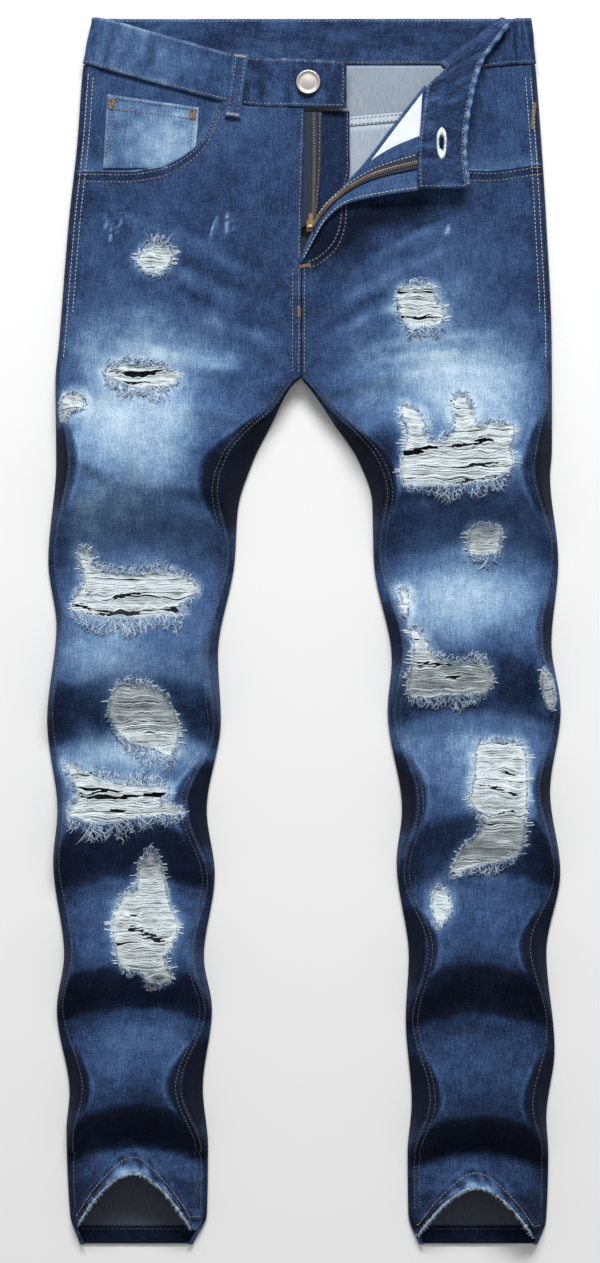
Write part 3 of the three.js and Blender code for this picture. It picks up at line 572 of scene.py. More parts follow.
def tubes(name, paths, radius, material, tone, sides=3):
    """Thin threads as one mesh: paths is strands by points by xyz, in millimetres."""
    paths = np.asarray(paths, dtype=float)
    strands, count, _ = paths.shape
    ahead = np.gradient(paths, axis=1)
    ahead /= np.linalg.norm(ahead, axis=2, keepdims=True) + 1e-9
    up = np.array([0.0, 0.0, 1.0])
    side = np.cross(ahead, up)
    side /= np.linalg.norm(side, axis=2, keepdims=True) + 1e-9
    over = np.cross(side, ahead)
    radius = np.broadcast_to(radius, (strands, count))[:, :, None, None]
    turn = 2 * math.pi * np.arange(sides) / sides + math.pi / 2
    ring = side[:, :, None, :] * np.cos(turn)[None, None, :, None]
    ring = ring + over[:, :, None, :] * np.sin(turn)[None, None, :, None]
    vertices = (paths[:, :, None, :] + radius * ring).reshape(-1, 3)
    first = np.arange(strands * count * sides).reshape(strands, count, sides)
    after = np.roll(first, -1, axis=2)
    quads = np.stack([first[:, :-1], after[:, :-1], after[:, 1:], first[:, 1:]], axis=-1).reshape(-1, 4)
    caps = np.concatenate([first[:, 0, ::-1], first[:, -1]])
    faces = quads.tolist() + caps.tolist()
    obj = new_piece(name, vertices, faces, [material])
    set_attribute(obj, "tone", np.repeat(tone, count * sides))


# ---------------------------------------------------------------- materials


class Nodes:
    """Short calls for building one material's node tree."""

    def __init__(self, name, roughness, sheen=0.0, metallic=0.0):
        """A new material with its main shader set."""
        self.material = bpy.data.materials.new(name)
        self.material.use_nodes = True
        self.tree = self.material.node_tree
        self.shader = self.tree.nodes["Principled BSDF"]
        self.shader.inputs["Roughness"].default_value = roughness
        self.shader.inputs["Sheen Weight"].default_value = sheen
        self.shader.inputs["Sheen Roughness"].default_value = 0.5
        self.shader.inputs["Metallic"].default_value = metallic
        self.shader.inputs["Specular IOR Level"].default_value = 0.5 if metallic else 0.12

    def add(self, kind, settings=None, **inputs):
        """One node; its inputs go by name, or by number as i0, i1 and so on."""
        node = self.tree.nodes.new(kind)
        for key, value in (settings or {}).items():
            setattr(node, key, value)
        for key, value in inputs.items():
            socket = node.inputs[int(key[1:]) if key.startswith("i") else key]
            if isinstance(value, bpy.types.NodeSocket):
                self.tree.links.new(value, socket)
            else:
                socket.default_value = value
        return node

    def math(self, operation, a, b=0.0, clamp=False):
        """One sum on two numbers or outputs."""
        node = self.add("ShaderNodeMath", {"operation": operation, "use_clamp": clamp}, i0=a, i1=b)
        return node.outputs[0]

    def attribute(self, name):
        """A number stored on the vertices."""
        return self.add("ShaderNodeAttribute", {"attribute_name": name}).outputs["Fac"]

    def cloth(self, across, along_grain):
        """Cloth coordinates stretched so that one unit is the given number of millimetres."""
        uv = self.add("ShaderNodeUVMap", {"uv_map": "cloth"}).outputs[0]
        scale = (1 / (across * MM), 1 / (along_grain * MM), 1.0)
        return self.add("ShaderNodeMapping", i0=uv, i3=scale).outputs[0]

    def noise(self, vector, detail=2.0, scale=1.0):
        """Noise over the given coordinates."""
        node = self.add("ShaderNodeTexNoise", Vector=vector, Scale=scale, Detail=detail)
        return node.outputs["Fac"]

    def ramp(self, value, stops):
        """A colour for a value, from (position, colour) stops."""
        node = self.add("ShaderNodeValToRGB", Fac=value)
        elements = node.color_ramp.elements
        while len(elements) < len(stops):
            elements.new(0.5)
        for element, (position, colour) in zip(elements, stops):
            element.position = position
            element.color = (*colour, 1.0)
        return node.outputs["Color"]

    def mix(self, factor, a, b):
        """A colour between two others."""
        node = self.add("ShaderNodeMix", {"data_type": "RGBA"}, i0=factor, i6=a, i7=b)
        return node.outputs[2]

    def bump(self, height, strength, distance):
        """Surface relief, its distance in millimetres."""
        node = self.add("ShaderNodeBump", Height=height, Strength=strength, Distance=distance * MM)
        self.tree.links.new(node.outputs[0], self.shader.inputs["Normal"])

    def colour(self, value):
        """Sets the base colour and gives the finished material."""
        if isinstance(value, bpy.types.NodeSocket):
            self.tree.links.new(value, self.shader.inputs["Base Color"])
        else:
            self.shader.inputs["Base Color"].default_value = (*value, 1.0)
        return self.material


# Colours of the denim by its level of wash and painted shade, as (level, colour).
INDIGO = [
    (0.00, (0.003, 0.006, 0.018)), (0.22, (0.012, 0.024, 0.066)), (0.38, (0.034, 0.071, 0.172)),
    (0.55, (0.076, 0.145, 0.290)), (0.75, (0.205, 0.330, 0.500)), (1.00, (0.500, 0.640, 0.770)),
]


def twill(nodes, pitch=1.25):
    """Diagonal ridges of the twill, from 0 to 1."""
    uv = nodes.cloth(pitch, pitch * 1.6)
    parts = nodes.add("ShaderNodeSeparateXYZ", Vector=uv)
    diagonal = nodes.math("ADD", parts.outputs[0], parts.outputs[1])
    wobble = nodes.noise(nodes.cloth(3.0, 3.0), 2.0)
    phase = nodes.math("ADD", nodes.math("MULTIPLY", diagonal, 6.2832), nodes.math("MULTIPLY", wobble, 5.0))
    return nodes.math("MULTIPLY_ADD", nodes.math("SINE", phase), 0.5)


def denim_material(name, shift=0.0):
    """Washed denim: indigo by its level of wash and painted shade, with yarn streaks, slubs and twill ridges.
    """
    nodes = Nodes(name, roughness=0.92, sheen=0.02)
    streaks = nodes.noise(nodes.cloth(1.3, 6.5), 3.0)
    slubs = nodes.noise(nodes.cloth(2.2, 20.0), 2.0)
    cross = nodes.noise(nodes.cloth(10.0, 1.6), 2.0)
    grain = nodes.noise(nodes.cloth(1.3, 1.6), 2.0)
    blotch = nodes.noise(nodes.cloth(9.0, 9.0), 3.0)
    level = nodes.math("ADD", nodes.attribute("wash_and_shade"), shift)
    for field, amount in ((streaks, 0.26), (slubs, 0.16), (cross, 0.13), (grain, 0.40), (blotch, 0.22)):
        part = nodes.math("MULTIPLY", nodes.math("SUBTRACT", field, 0.5), amount)
        level = nodes.math("ADD", level, part)
    ridges = twill(nodes)
    level = nodes.math("ADD", level, nodes.math("MULTIPLY", nodes.math("SUBTRACT", ridges, 0.5), 0.07))
    height = nodes.math("ADD", nodes.math("MULTIPLY", ridges, 0.5), nodes.math("MULTIPLY", streaks, 0.6))
    height = nodes.math("ADD", height, nodes.math("MULTIPLY", grain, 0.5))
    nodes.bump(height, 0.55, 0.5)
    return nodes.colour(nodes.ramp(nodes.math("ADD", level, 0.0, clamp=True), INDIGO))


def inside_material():
    """The weft side of the denim: pale grey blue, mixed towards near black by painted shade, most of all down
    inside the legs.
    """
    nodes = Nodes("denim_inside", roughness=0.92, sheen=0.15)
    streaks = nodes.noise(nodes.cloth(1.2, 9.0), 2.0)
    grain = nodes.noise(nodes.cloth(1.0, 1.0), 2.0)
    ridges = twill(nodes)
    level = nodes.math("ADD", nodes.math("MULTIPLY", streaks, 0.5), nodes.math("MULTIPLY", grain, 0.3))
    level = nodes.math("ADD", level, nodes.math("MULTIPLY", ridges, 0.2))
    nodes.bump(level, 0.5, 0.4)
    stops = [(0.2, (0.285, 0.360, 0.480)), (0.5, (0.480, 0.565, 0.665)), (0.8, (0.670, 0.740, 0.810))]
    pale = nodes.ramp(level, stops)
    deep = nodes.ramp(level, [(0.2, (0.012, 0.016, 0.024)), (0.8, (0.050, 0.062, 0.085))])
    return nodes.colour(nodes.mix(nodes.attribute("deep"), pale, deep))


def thread_material(name, dark, light, roughness=0.9):
    """Loose yarn: each strand has its own tone."""
    nodes = Nodes(name, roughness=roughness, sheen=0.2)
    return nodes.colour(nodes.ramp(nodes.attribute("tone"), [(0.0, dark), (1.0, light)]))


def plain_material(name, colour, roughness, metallic, grain, size):
    """Metal, mottled by its grain over spots of a size in millimetres."""
    nodes = Nodes(name, roughness=roughness, metallic=metallic)
    position = nodes.add("ShaderNodeTexCoord").outputs["Object"]
    field = nodes.noise(position, 3.0, 1 / (size * MM))
    low = tuple(c * (1 - grain) for c in colour)
    high = tuple(min(1.0, c * (1 + grain)) for c in colour)
    nodes.bump(field, 0.3, 0.2)
    return nodes.colour(nodes.ramp(field, [(0.3, low), (0.7, high)]))


def cotton_material():
    """White pocketing: fine plain weave."""
    nodes = Nodes("pocket_cotton", roughness=0.95, sheen=0.1)
    warp = nodes.noise(nodes.cloth(0.7, 6.0), 2.0)
    weft = nodes.noise(nodes.cloth(6.0, 0.7), 2.0)
    weave = nodes.math("MULTIPLY", nodes.math("ADD", warp, weft), 0.5)
    nodes.bump(weave, 0.4, 0.3)
    return nodes.colour(nodes.ramp(weave, [(0.3, (0.66, 0.71, 0.80)), (0.7, (0.80, 0.84, 0.90))]))


def tape_material():
    """Brown-black woven zip tape."""
    nodes = Nodes("zip_tape", roughness=0.85, sheen=0.1)
    warp = nodes.noise(nodes.cloth(0.6, 5.0), 2.0)
    ridges = twill(nodes, 0.9)
    weave = nodes.math("ADD", nodes.math("MULTIPLY", warp, 0.6), nodes.math("MULTIPLY", ridges, 0.4))
    nodes.bump(weave, 0.5, 0.3)
    return nodes.colour(nodes.ramp(weave, [(0.2, (0.012, 0.019, 0.036)), (0.8, (0.044, 0.057, 0.096))]))


DENIM_OUT = denim_material("denim")
DENIM_DARK = denim_material("denim_dark", shift=-0.06)
DENIM_IN = inside_material()
WEFT = thread_material("weft_thread", (0.56, 0.65, 0.72), (0.90, 0.98, 1.0))
WARP = thread_material("warp_thread", (0.055, 0.12, 0.28), (0.72, 0.86, 1.0))
TOPSTITCH = thread_material("topstitch", (0.13, 0.115, 0.105), (0.42, 0.40, 0.38), 0.7)
PALE_STITCH = thread_material("pale_topstitch", (0.38, 0.42, 0.46), (0.72, 0.74, 0.74), 0.7)
SHADED_STITCH = thread_material("shaded_stitch", (0.045, 0.045, 0.055), (0.17, 0.16, 0.16), 0.7)
LOOP_TACK = thread_material("loop_tack", (0.26, 0.30, 0.36), (0.52, 0.56, 0.60), 0.7)
TAN_STITCH = thread_material("tan_stitch", (0.20, 0.15, 0.10), (0.46, 0.38, 0.28), 0.7)
BARTACK = thread_material("bartack_thread", (0.14, 0.085, 0.05), (0.36, 0.26, 0.18), 0.7)
COTTON = cotton_material()
TAPE = tape_material()
BRASS_DARK = plain_material("aged_brass", (0.25, 0.19, 0.14), 0.40, 0.9, 0.4, 0.5)
BRASS = plain_material("brass", (0.42, 0.31, 0.19), 0.38, 1.0, 0.3, 0.6)
BUTTON_METAL = plain_material("button_metal", (0.60, 0.55, 0.53), 0.42, 0.85, 0.12, 0.9)


# ---------------------------------------------------------------- panels


def band_seam_y(x):
    """The waistband's seam over the right front."""
    return along([(-181, 466), (-165, 462), (-113, 447.5), (-49, 432), (-7, 430.5), (35, 429.5)], x)


def right_top(x):
    """Top edge of the right front: its pocket mouth, then the waistband seam."""
    return np.where(x < RIGHT_SCOOP[-1][0], along(RIGHT_SCOOP, x), band_seam_y(x) - 0.2)


def left_top(x):
    """Top edge of the left front: its pocket mouth."""
    return along(LEFT_SCOOP, x)


def front_panel(name, leg, top, side_y, inner_top, columns=78, rows=372):
    """The front of one leg, from the pocket edge and waistband down to the arched hem."""
    even = np.linspace(0, 1, columns + 1)[None, :]
    across = lerp(even, (1 - np.cos(np.pi * even)) / 2, 0.45)
    down = np.linspace(0, 1, rows + 1)[:, None]
    top_x = lerp(leg.seams(side_y, "front")[0], inner_top, across)
    hem_outer, hem_inner = leg.seams(leg.hem["side_y"], "front")
    y = lerp(top(top_x), hem_y(leg, lerp(hem_outer, hem_inner, across)), down)
    outer, inner = leg.seams(y, "front")
    x = lerp(outer - leg.outward * SEAM_GAP, inner + leg.outward * SEAM_GAP, across)
    z = leg.height(x, y)
    points = np.stack([x, y, z], axis=-1).reshape(-1, 3)
    middle_x = (x[:-1, :-1] + x[1:, 1:]) / 2
    middle_y = (y[:-1, :-1] + y[1:, 1:]) / 2
    keep = np.ones(middle_x.shape, dtype=bool)
    for rip in RIPS[leg]:
        ragged = 1.7 * noise(middle_x, middle_y, 3.0, 21) + 1.3 * noise(middle_x, middle_y, 8, 22)
        keep &= inside_loop(rip["loop"], middle_x, middle_y) + ragged < 0.2
    quads = grid_faces(rows + 1, columns + 1, keep, flip=leg.outward < 0)
    kept, quads, used = drop_loose(points, quads)
    obj = new_piece(name, kept, quads.tolist(), [DENIM_OUT, DENIM_IN])
    note_cloth(obj, points.reshape(rows + 1, columns + 1, 3), rests_on=(name.replace("front", "back"),))
    set_attribute(obj, "wash_and_shade", wash_and_shade(leg, x, y).ravel()[used])
    set_cloth_map(obj, x.ravel()[used], y.ravel()[used])
    from_hem = (y - hem_y(leg, x)).ravel()[used]
    thick = lerp(1.0, DENIM / HEM_THICK, smooth(HEM_BAND - 3, HEM_BAND, from_hem))
    thicken(obj, HEM_THICK, group=thick)
    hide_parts(name)


def back_rows(leg, y):
    """Cross-sections of the back for a column of y: round both walls and over the surface."""
    y = y[:, None]
    part = below_crotch(y)
    outer, inner = leg.outer_x(y), leg.inner_x(y, "back")
    outer_seam, inner_seam = leg.seams(y, "back")
    outer_seam = outer_seam + leg.outward * SEAM_GAP
    inner_seam = inner_seam - leg.outward * SEAM_GAP * part
    floor = DENIM / 2 + UNDER_THREADS + lift(y)
    edge = EDGE + lift(y)
    up = np.linspace(1, 0, 8)[None, :]
    turn = np.linspace(0, math.pi / 2, 5)[None, 1:]
    foot = 2.6

    def wall(seam, rim, towards, share):
        """One side wall, from its seam out to the rim and round on to the flat."""
        x = lerp(rim, seam, up)
        z = lerp(floor, leg.height(x, y), share)
        corner_x = rim + towards * foot * (1 - np.cos(turn))
        corner_z = lerp(lerp(edge, floor, np.sin(turn)), floor, 1 - share)
        return np.concatenate([x, corner_x], axis=1), np.concatenate([z, corner_z], axis=1)

    outer_wall = wall(outer_seam, outer, -leg.outward, np.ones_like(y))
    inner_wall = wall(inner_seam, inner, leg.outward, part)
    middle = np.linspace(0, 1, 38)[None, 1:-1]
    start, end = outer_wall[0][:, -1:], inner_wall[0][:, -1:]
    x = np.concatenate([outer_wall[0], lerp(start, end, middle), inner_wall[0][:, ::-1]], axis=1)
    flat = np.broadcast_to(floor, (len(y), middle.size))
    z = np.concatenate([outer_wall[1], flat, inner_wall[1][:, ::-1]], axis=1)
    return x, np.broadcast_to(y, x.shape).copy(), z


def yoke_y(x):
    """The yoke seam, lowest at the centre back."""
    return lerp(YOKE_CENTRE_Y, YOKE_SIDE_Y, clamp01(np.abs(x - CENTRE_X) / 180))


def back_wash_and_shade(leg, x, y, z):
    """Wash of the back: the front's where it rolls over a fold, with painted shade darkening the wide side
    walls.
    """
    outer, inner = leg.outer_x(y), leg.inner_x(y, "back")
    nearer = np.abs(x - outer) < np.abs(x - inner)
    part = below_crotch(y)
    inner_wide = along(leg.inner_walls, y) * part + ROUND * (1 - part)
    wide = np.where(nearer, along(leg.outer_walls, y), inner_wide)
    # Painted shade: the wide side walls go nearly black, for the shade they lie in.
    wall = 0.92 * lerp(wash_and_shade(leg, x, y), 0.02, smooth(*WALL_WIDTHS, wide) * smooth(-450, -400, y))
    seat = 0.24 * np.exp(-((np.abs(x - CENTRE_X) - 96) / 52) ** 2 - ((y - 250) / 90) ** 2)
    calf = 0.12 * np.exp(-(((np.abs(x) - 138) / 34) ** 2)) * smooth(-470, -200, y) * smooth(190, 60, y)
    under = 0.29 + seat + calf + 0.06 * noise(x, y, 44, 17) + 0.05 * noise(x, y, 15, 18)
    creases = noise(x * 0.5, y + 0.25 * np.abs(x), 9, 19)
    under = under + 0.10 * np.maximum(creases, 0) * np.exp(-(((y - 20) / 55) ** 2))
    under = under + 0.22 * smooth(HEM_Y + 3, HEM_Y + 0.5, y)
    return clamp01(lerp(under, wall, smooth(0.3, 2.0, z - DENIM / 2 - lift(y))))


def back_sheet(name, leg, x, y, z, level, deep):
    """A grid of the back as denim with its pale weft side inwards."""
    points = np.stack([x, y, z], axis=-1)
    quads = grid_faces(*x.shape, flip=leg.outward > 0)
    obj = new_piece(name, points.reshape(-1, 3), quads.tolist(), [DENIM_DARK, DENIM_IN])
    note_cloth(obj, points)
    set_attribute(obj, "wash_and_shade", level)
    set_attribute(obj, "deep", deep)
    set_cloth_map(obj, x, y)
    thicken(obj, DENIM)
    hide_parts(name)


def back_panel(name, leg, rows=184):
    """The back of one leg, from the yoke to the hem, with both its edges turned up the walls."""
    y = np.linspace(YOKE_SIDE_Y, HEM_Y, rows + 1)
    x, y, z = back_rows(leg, y)
    down = np.linspace(0, 1, rows + 1)[:, None]
    y = y + lerp(yoke_y(x) - YOKE_SIDE_Y, 0, clamp01(down * 6))
    # The inside takes painted shade: lightly near the top, and heavily down inside the legs.
    back_sheet(name, leg, x, y, z, back_wash_and_shade(leg, x, y, z), 0.26 + 0.66 * smooth(348, 322, y))


# ---------------------------------------------------------------- rips: threads and frayed edges


def crossings(loop, y):
    """The stretches of x inside a loop at one y."""
    a, b = loop, np.roll(loop, -1, axis=0)
    cut = (a[:, 1] > y) != (b[:, 1] > y)
    a, b = a[cut], b[cut]
    at = np.sort(a[:, 0] + (y - a[:, 1]) / (b[:, 1] - a[:, 1]) * (b[:, 0] - a[:, 0]))
    return list(zip(at[::2], at[1::2]))


def outside_slits(spans, rip, y, rng):
    """Takes the slits, where the threads are worn through, out of a row's stretches."""
    for sx, sy, width, height, rise in rip["slits"]:
        open_share = 1 - ((y - sy) / (height / 2 + abs(rise) * 0.5)) ** 2
        if open_share <= 0:
            continue
        shift = np.clip((y - sy) / (rise if abs(rise) > 1 else 1e9), -0.5, 0.5) * width
        half = width / 2 * math.sqrt(open_share) * (0.55 if abs(rise) > 3 else 1.0) * rng.uniform(0.7, 1.15)
        low, high = sx + shift - half + rng.normal(0, 2), sx + shift + half + rng.normal(0, 2)
        spans = [part for a, b in spans for part in ((a, min(b, low)), (max(a, high), b))]
    return spans


def rip_threads(name, leg, rng):
    """The white weft that still bridges each hole, bunched in wavy bands and broken at the slits."""
    strands, tone, thick = [], [], []
    for rip in RIPS[leg]:
        loop = rip["loop"]
        most = 3.0 if np.ptp(loop[:, 0]) < 24 else 7.0
        for y0 in np.arange(loop[:, 1].min() + 0.3, loop[:, 1].max(), 0.60):
            for a, b in outside_slits(crossings(loop, y0), rip, y0, rng):
                if b - a < 2.5 or rng.random() < 0.05:
                    continue
                before, after = 0.6 + most * rng.random(2) ** 7
                x = np.linspace(a - before, b + after, 16)
                row = np.full_like(x, y0)
                bunch = 1.9 * noise(x * 0.6, row, 7, 31) + 0.7 * noise(x, row, 3.5, 34)
                y = y0 + bunch + 0.5 * noise(x, row * 3, 6, 32)
                held = smooth(0, 8, np.minimum(x - a - 1.2, b - 1.2 - x))
                drop = held * (0.2 + 1.3 * rng.random() + 1.2 * noise(x, row, 8, 33))
                z = leg.height(x, y) + 0.95 - drop
                strands.append(np.stack([x, y, z], axis=1))
                tone.append(clamp01(rng.normal(0.75, 0.22)))
                thick.append(rng.uniform(0.33, 0.60) * (1 + 0.25 * noise(x, row * 5, 5, 35)))
    tubes(name, strands, np.array(thick), WEFT, tone)


def edge_walk(loop, spacing, rng):
    """Points and outward directions along a loop, about a spacing apart."""
    after = np.roll(loop, -1, axis=0)
    step = after - loop
    length = np.hypot(step[:, 0], step[:, 1])
    count = max(4, int(length.sum() / spacing))
    place = np.sort(rng.uniform(0, length.sum(), count))
    end = np.cumsum(length)
    i = np.searchsorted(end, place)
    share = (place - (end[i] - length[i])) / length[i]
    points = loop[i] + share[:, None] * step[i]
    area = np.sum(loop[:, 0] * after[:, 1] - after[:, 0] * loop[:, 1])
    normal = np.stack([step[i, 1], -step[i, 0]], axis=1) / length[i][:, None] * np.sign(area)
    return points, normal


def rip_fringe(name, leg, rng):
    """Curly pale blue yarn ends that lie frayed over the cloth above and below each hole."""
    strands, tone = [], []
    t = np.linspace(0, 1, 7)
    for rip in RIPS[leg]:
        points, normals = edge_walk(rip["loop"], 0.66, rng)
        low, high = rip["loop"][:, 0].min(), rip["loop"][:, 0].max()
        for (px, py), (nx, ny) in zip(points, normals):
            reach = (rip["below"] if ny < 0 else rip["above"]) * abs(ny) + 2.0
            centre = 1 - abs(2 * (px - low) / (high - low) - 1) ** 3
            extent = reach * (0.5 + 0.5 * centre) * (0.75 + 0.35 * float(noise(px, py, 8, 36)))
            start = extent * rng.uniform(0, 0.75) ** 1.2
            length = max(1.5, extent - start) * rng.uniform(0.4, 1.0)
            curl = rng.uniform(0.5, 2.0) * min(1.0, extent / 7)
            turn, phase = rng.uniform(3, 8), rng.uniform(0, 6.28)
            lean = rng.normal(0, 0.45)
            out = math.copysign(1.0, ny)
            x = px - 1.0 * nx + start * nx * 0.4 + lean * length * t + curl * np.sin(turn * t + phase)
            y = py - 1.0 * ny + out * (start + length * t) + curl * np.cos(turn * t + phase)
            z = leg.height(x, y) + 0.8 + (0.4 + 1.4 * rng.random()) * np.sin(math.pi * t)
            strands.append(np.stack([x, y, z], axis=1))
            tone.append(clamp01(rng.normal(0.55, 0.25)))
    radius = np.interp(t, [0, 0.7, 1], [0.42, 0.38, 0.16])[None, :]
    tubes(name, strands, radius, WARP, tone)


def rip_fluff(name, leg, rng):
    """Short pale ends that stick into and out of each hole all round."""
    strands, tone = [], []
    t = np.linspace(0, 1, 4)
    for rip in RIPS[leg]:
        points, normals = edge_walk(rip["loop"], 0.45, rng)
        for (px, py), (nx, ny) in zip(points, normals):
            if rng.random() > 0.15 + abs(ny) ** 2:
                continue
            length = rng.uniform(1.5, 4.5)
            angle = math.atan2(ny, nx) + rng.normal(0, 1.1)
            x = px + math.cos(angle) * length * (t - 0.3) + rng.normal(0, 0.4) * t**2
            y = py + math.sin(angle) * length * (t - 0.3) + rng.normal(0, 0.8) * t**2
            z = leg.height(x, y) + 0.9 + 1.2 * rng.random() * t
            strands.append(np.stack([x, y, z], axis=1))
            tone.append(clamp01(rng.normal(0.7, 0.2)))
    tubes(name, strands, np.linspace(0.34, 0.16, 4)[None, :], WARP, tone)


# ---------------------------------------------------------------- stitching


def resample(path, spacing):
    """Evenly spaced places along a path, and how far along it each of its points lies."""
    step = np.linalg.norm(np.diff(path, axis=0), axis=1)
    length = np.concatenate([[0], np.cumsum(step)])
    at = np.arange(spacing / 2, length[-1], spacing)
    return at, length


def stitches(name, paths, radius, material=None, pitch=3.3, upside=1.0):
    """Rows of sewn stitches along the paths; each one is a small sunken-ended tube."""
    rng = np.random.default_rng(3)
    share = np.array([-0.38, -0.15, 0.15, 0.38])
    dip = np.array([-0.42, 0.12, 0.12, -0.42]) * upside
    strands = []
    for path in paths:
        path = np.asarray(path, dtype=float)
        at, length = resample(path, pitch)
        places = at[:, None] + share[None, :] * pitch + rng.normal(0, 0.06, (len(at), 1))
        strand = np.stack([np.interp(places, length, path[:, k]) for k in range(3)], axis=-1)
        strand[:, :, 2] += dip
        strands.append(strand)
    strands = np.concatenate(strands)
    thick = radius * np.array([0.55, 1.0, 1.0, 0.55])[None, :]
    tone = clamp01(rng.normal(0.5, 0.2, len(strands)))
    tubes(name, strands, thick, material or TOPSTITCH, tone, sides=4)


def over_front(leg, x, y, out=0.72):
    """A path on the outside of a front panel."""
    x, y = np.broadcast_arrays(np.asarray(x, dtype=float), np.asarray(y, dtype=float))
    rise_x = leg.height(x + 0.5, y) - leg.height(x - 0.5, y)
    rise_y = leg.height(x, y + 0.5) - leg.height(x, y - 0.5)
    slope = np.hypot(rise_x, rise_y)
    return np.stack([x, y, leg.height(x, y) + out * np.minimum(np.hypot(1, slope), 2.2)], axis=1)


def bartack(centre, length, width, angle, up):
    """Dense zigzag of thread round a line, as one path."""
    count = int(length / 0.55)
    t = np.linspace(-0.5, 0.5, count * 2)
    side = np.where(np.arange(len(t)) % 2 == 0, 0.5, -0.5)
    c, s = math.cos(angle), math.sin(angle)
    x = centre[0] + c * t * length - s * side * width
    y = centre[1] + s * t * length + c * side * width
    return np.stack([x, y, np.full_like(x, up)], axis=1)


# ---------------------------------------------------------------- waistband

# The waistband's course: (top edge), (seam edge), height of its middle. It runs from the button end
# round the right side, across the back, round the left side, and back over its own front as a strip.
BAND_PLACES = [
    ((35, 468), (35, 429.5), 12.8), ((-6, 470), (-7, 430.5), 12.8), ((-48, 472), (-49, 432), 12.8),
    ((-110, 488), (-113, 447.5), 12.8), ((-158, 501.5), (-165, 462), 12.8),
    ((-169, 504), (-177, 465.5), 10.8), ((-173, 504.4), (-181, 466.3), 7.9),
    ((-168, 504.5), (-175, 466.5), 3.6), ((-158, 504.5), (-164, 466.5), 3),
    ((0, 504.5), (0, 466.5), 3), ((168, 504.5), (172, 466.5), 3), ((180, 504.4), (184, 466.3), 3.6),
    ((186, 504.2), (190, 466.2), 7.9), ((181, 503.5), (185, 466), 10.8), ((174, 503.3), (172, 465.5), 11.3),
    ((167, 500), (116, 461), 11.3), ((163, 503), (111.5, 465), 14.6), ((167, 499.5), (116, 460.5), 17.8),
    ((145, 467), (101.5, 446.5), 18.8), ((136, 435), (97, 424), 20.8), ((131, 395), (93.5, 394), 22.8),
    ((134, 361.5), (93.5, 361.5), 24.8),
]
RIGHT_SIDE, LEFT_SIDE, BAND_END = 6, 12, len(BAND_PLACES) - 1

# About how far the band runs from one place to the next, and its buttonhole: x, y, width, height.
BAND_STEP = 17
BUTTONHOLE = (112.5, 399, 3.4, 25)


def centripetal(points, place):
    """Centripetal Catmull-Rom curve at places counted in points."""
    p = np.asarray(points, dtype=float)
    p = np.concatenate([2 * p[:1] - p[1:2], p, 2 * p[-1:] - p[-2:-1]])
    i = np.clip(np.floor(place).astype(int), 0, len(points) - 2)
    a, b, c, d = p[i], p[i + 1], p[i + 2], p[i + 3]
    t1 = np.linalg.norm(b - a, axis=-1) ** 0.5
    t2 = t1 + np.linalg.norm(c - b, axis=-1) ** 0.5
    t3 = t2 + np.linalg.norm(d - c, axis=-1) ** 0.5
    t = lerp(t1, t2, place - i)[:, None]
    t1, t2, t3 = t1[:, None], t2[:, None], t3[:, None]
    a1 = a * (t1 - t) / t1 + b * t / t1
    a2 = b * (t2 - t) / (t2 - t1) + c * (t - t1) / (t2 - t1)
    a3 = c * (t3 - t) / (t3 - t2) + d * (t - t2) / (t3 - t2)
    b1 = a1 * (t2 - t) / t2 + a2 * t / t2
    b2 = a2 * (t3 - t) / (t3 - t1) + a3 * (t - t1) / (t3 - t1)
    return b1 * (t2 - t) / (t2 - t1) + b2 * (t - t1) / (t2 - t1)


BAND_TOP = [(*top, z) for top, _, z in BAND_PLACES]
BAND_SEAM = [(*seam, z) for _, seam, z in BAND_PLACES]


def band_surface(place, down, out=0.0):
    """Points of the waistband at places along it and shares from its top edge to its seam edge."""
    place, down = np.broadcast_arrays(np.asarray(place, dtype=float), np.asarray(down, dtype=float))
    flat_place, flat_down = place.ravel(), down.ravel()[:, None]
    top, seam = centripetal(BAND_TOP, flat_place), centripetal(BAND_SEAM, flat_place)
    ahead = centripetal(BAND_TOP, flat_place + 0.01) - centripetal(BAND_TOP, flat_place - 0.01)
    normal = np.cross(seam - top, ahead)
    normal /= np.linalg.norm(normal, axis=1, keepdims=True) + 1e-9
    flat = lerp(top, seam, flat_down)
    run = flat_place * BAND_STEP
    pucker = 0.35 * noise(run, flat_down[:, 0] * 14, 2.2, 51) + 0.3 * noise(run, flat_down[:, 0] * 3, 5, 52)
    points = flat - normal * (out + pucker)[:, None]
    return points.reshape(*place.shape, 3)


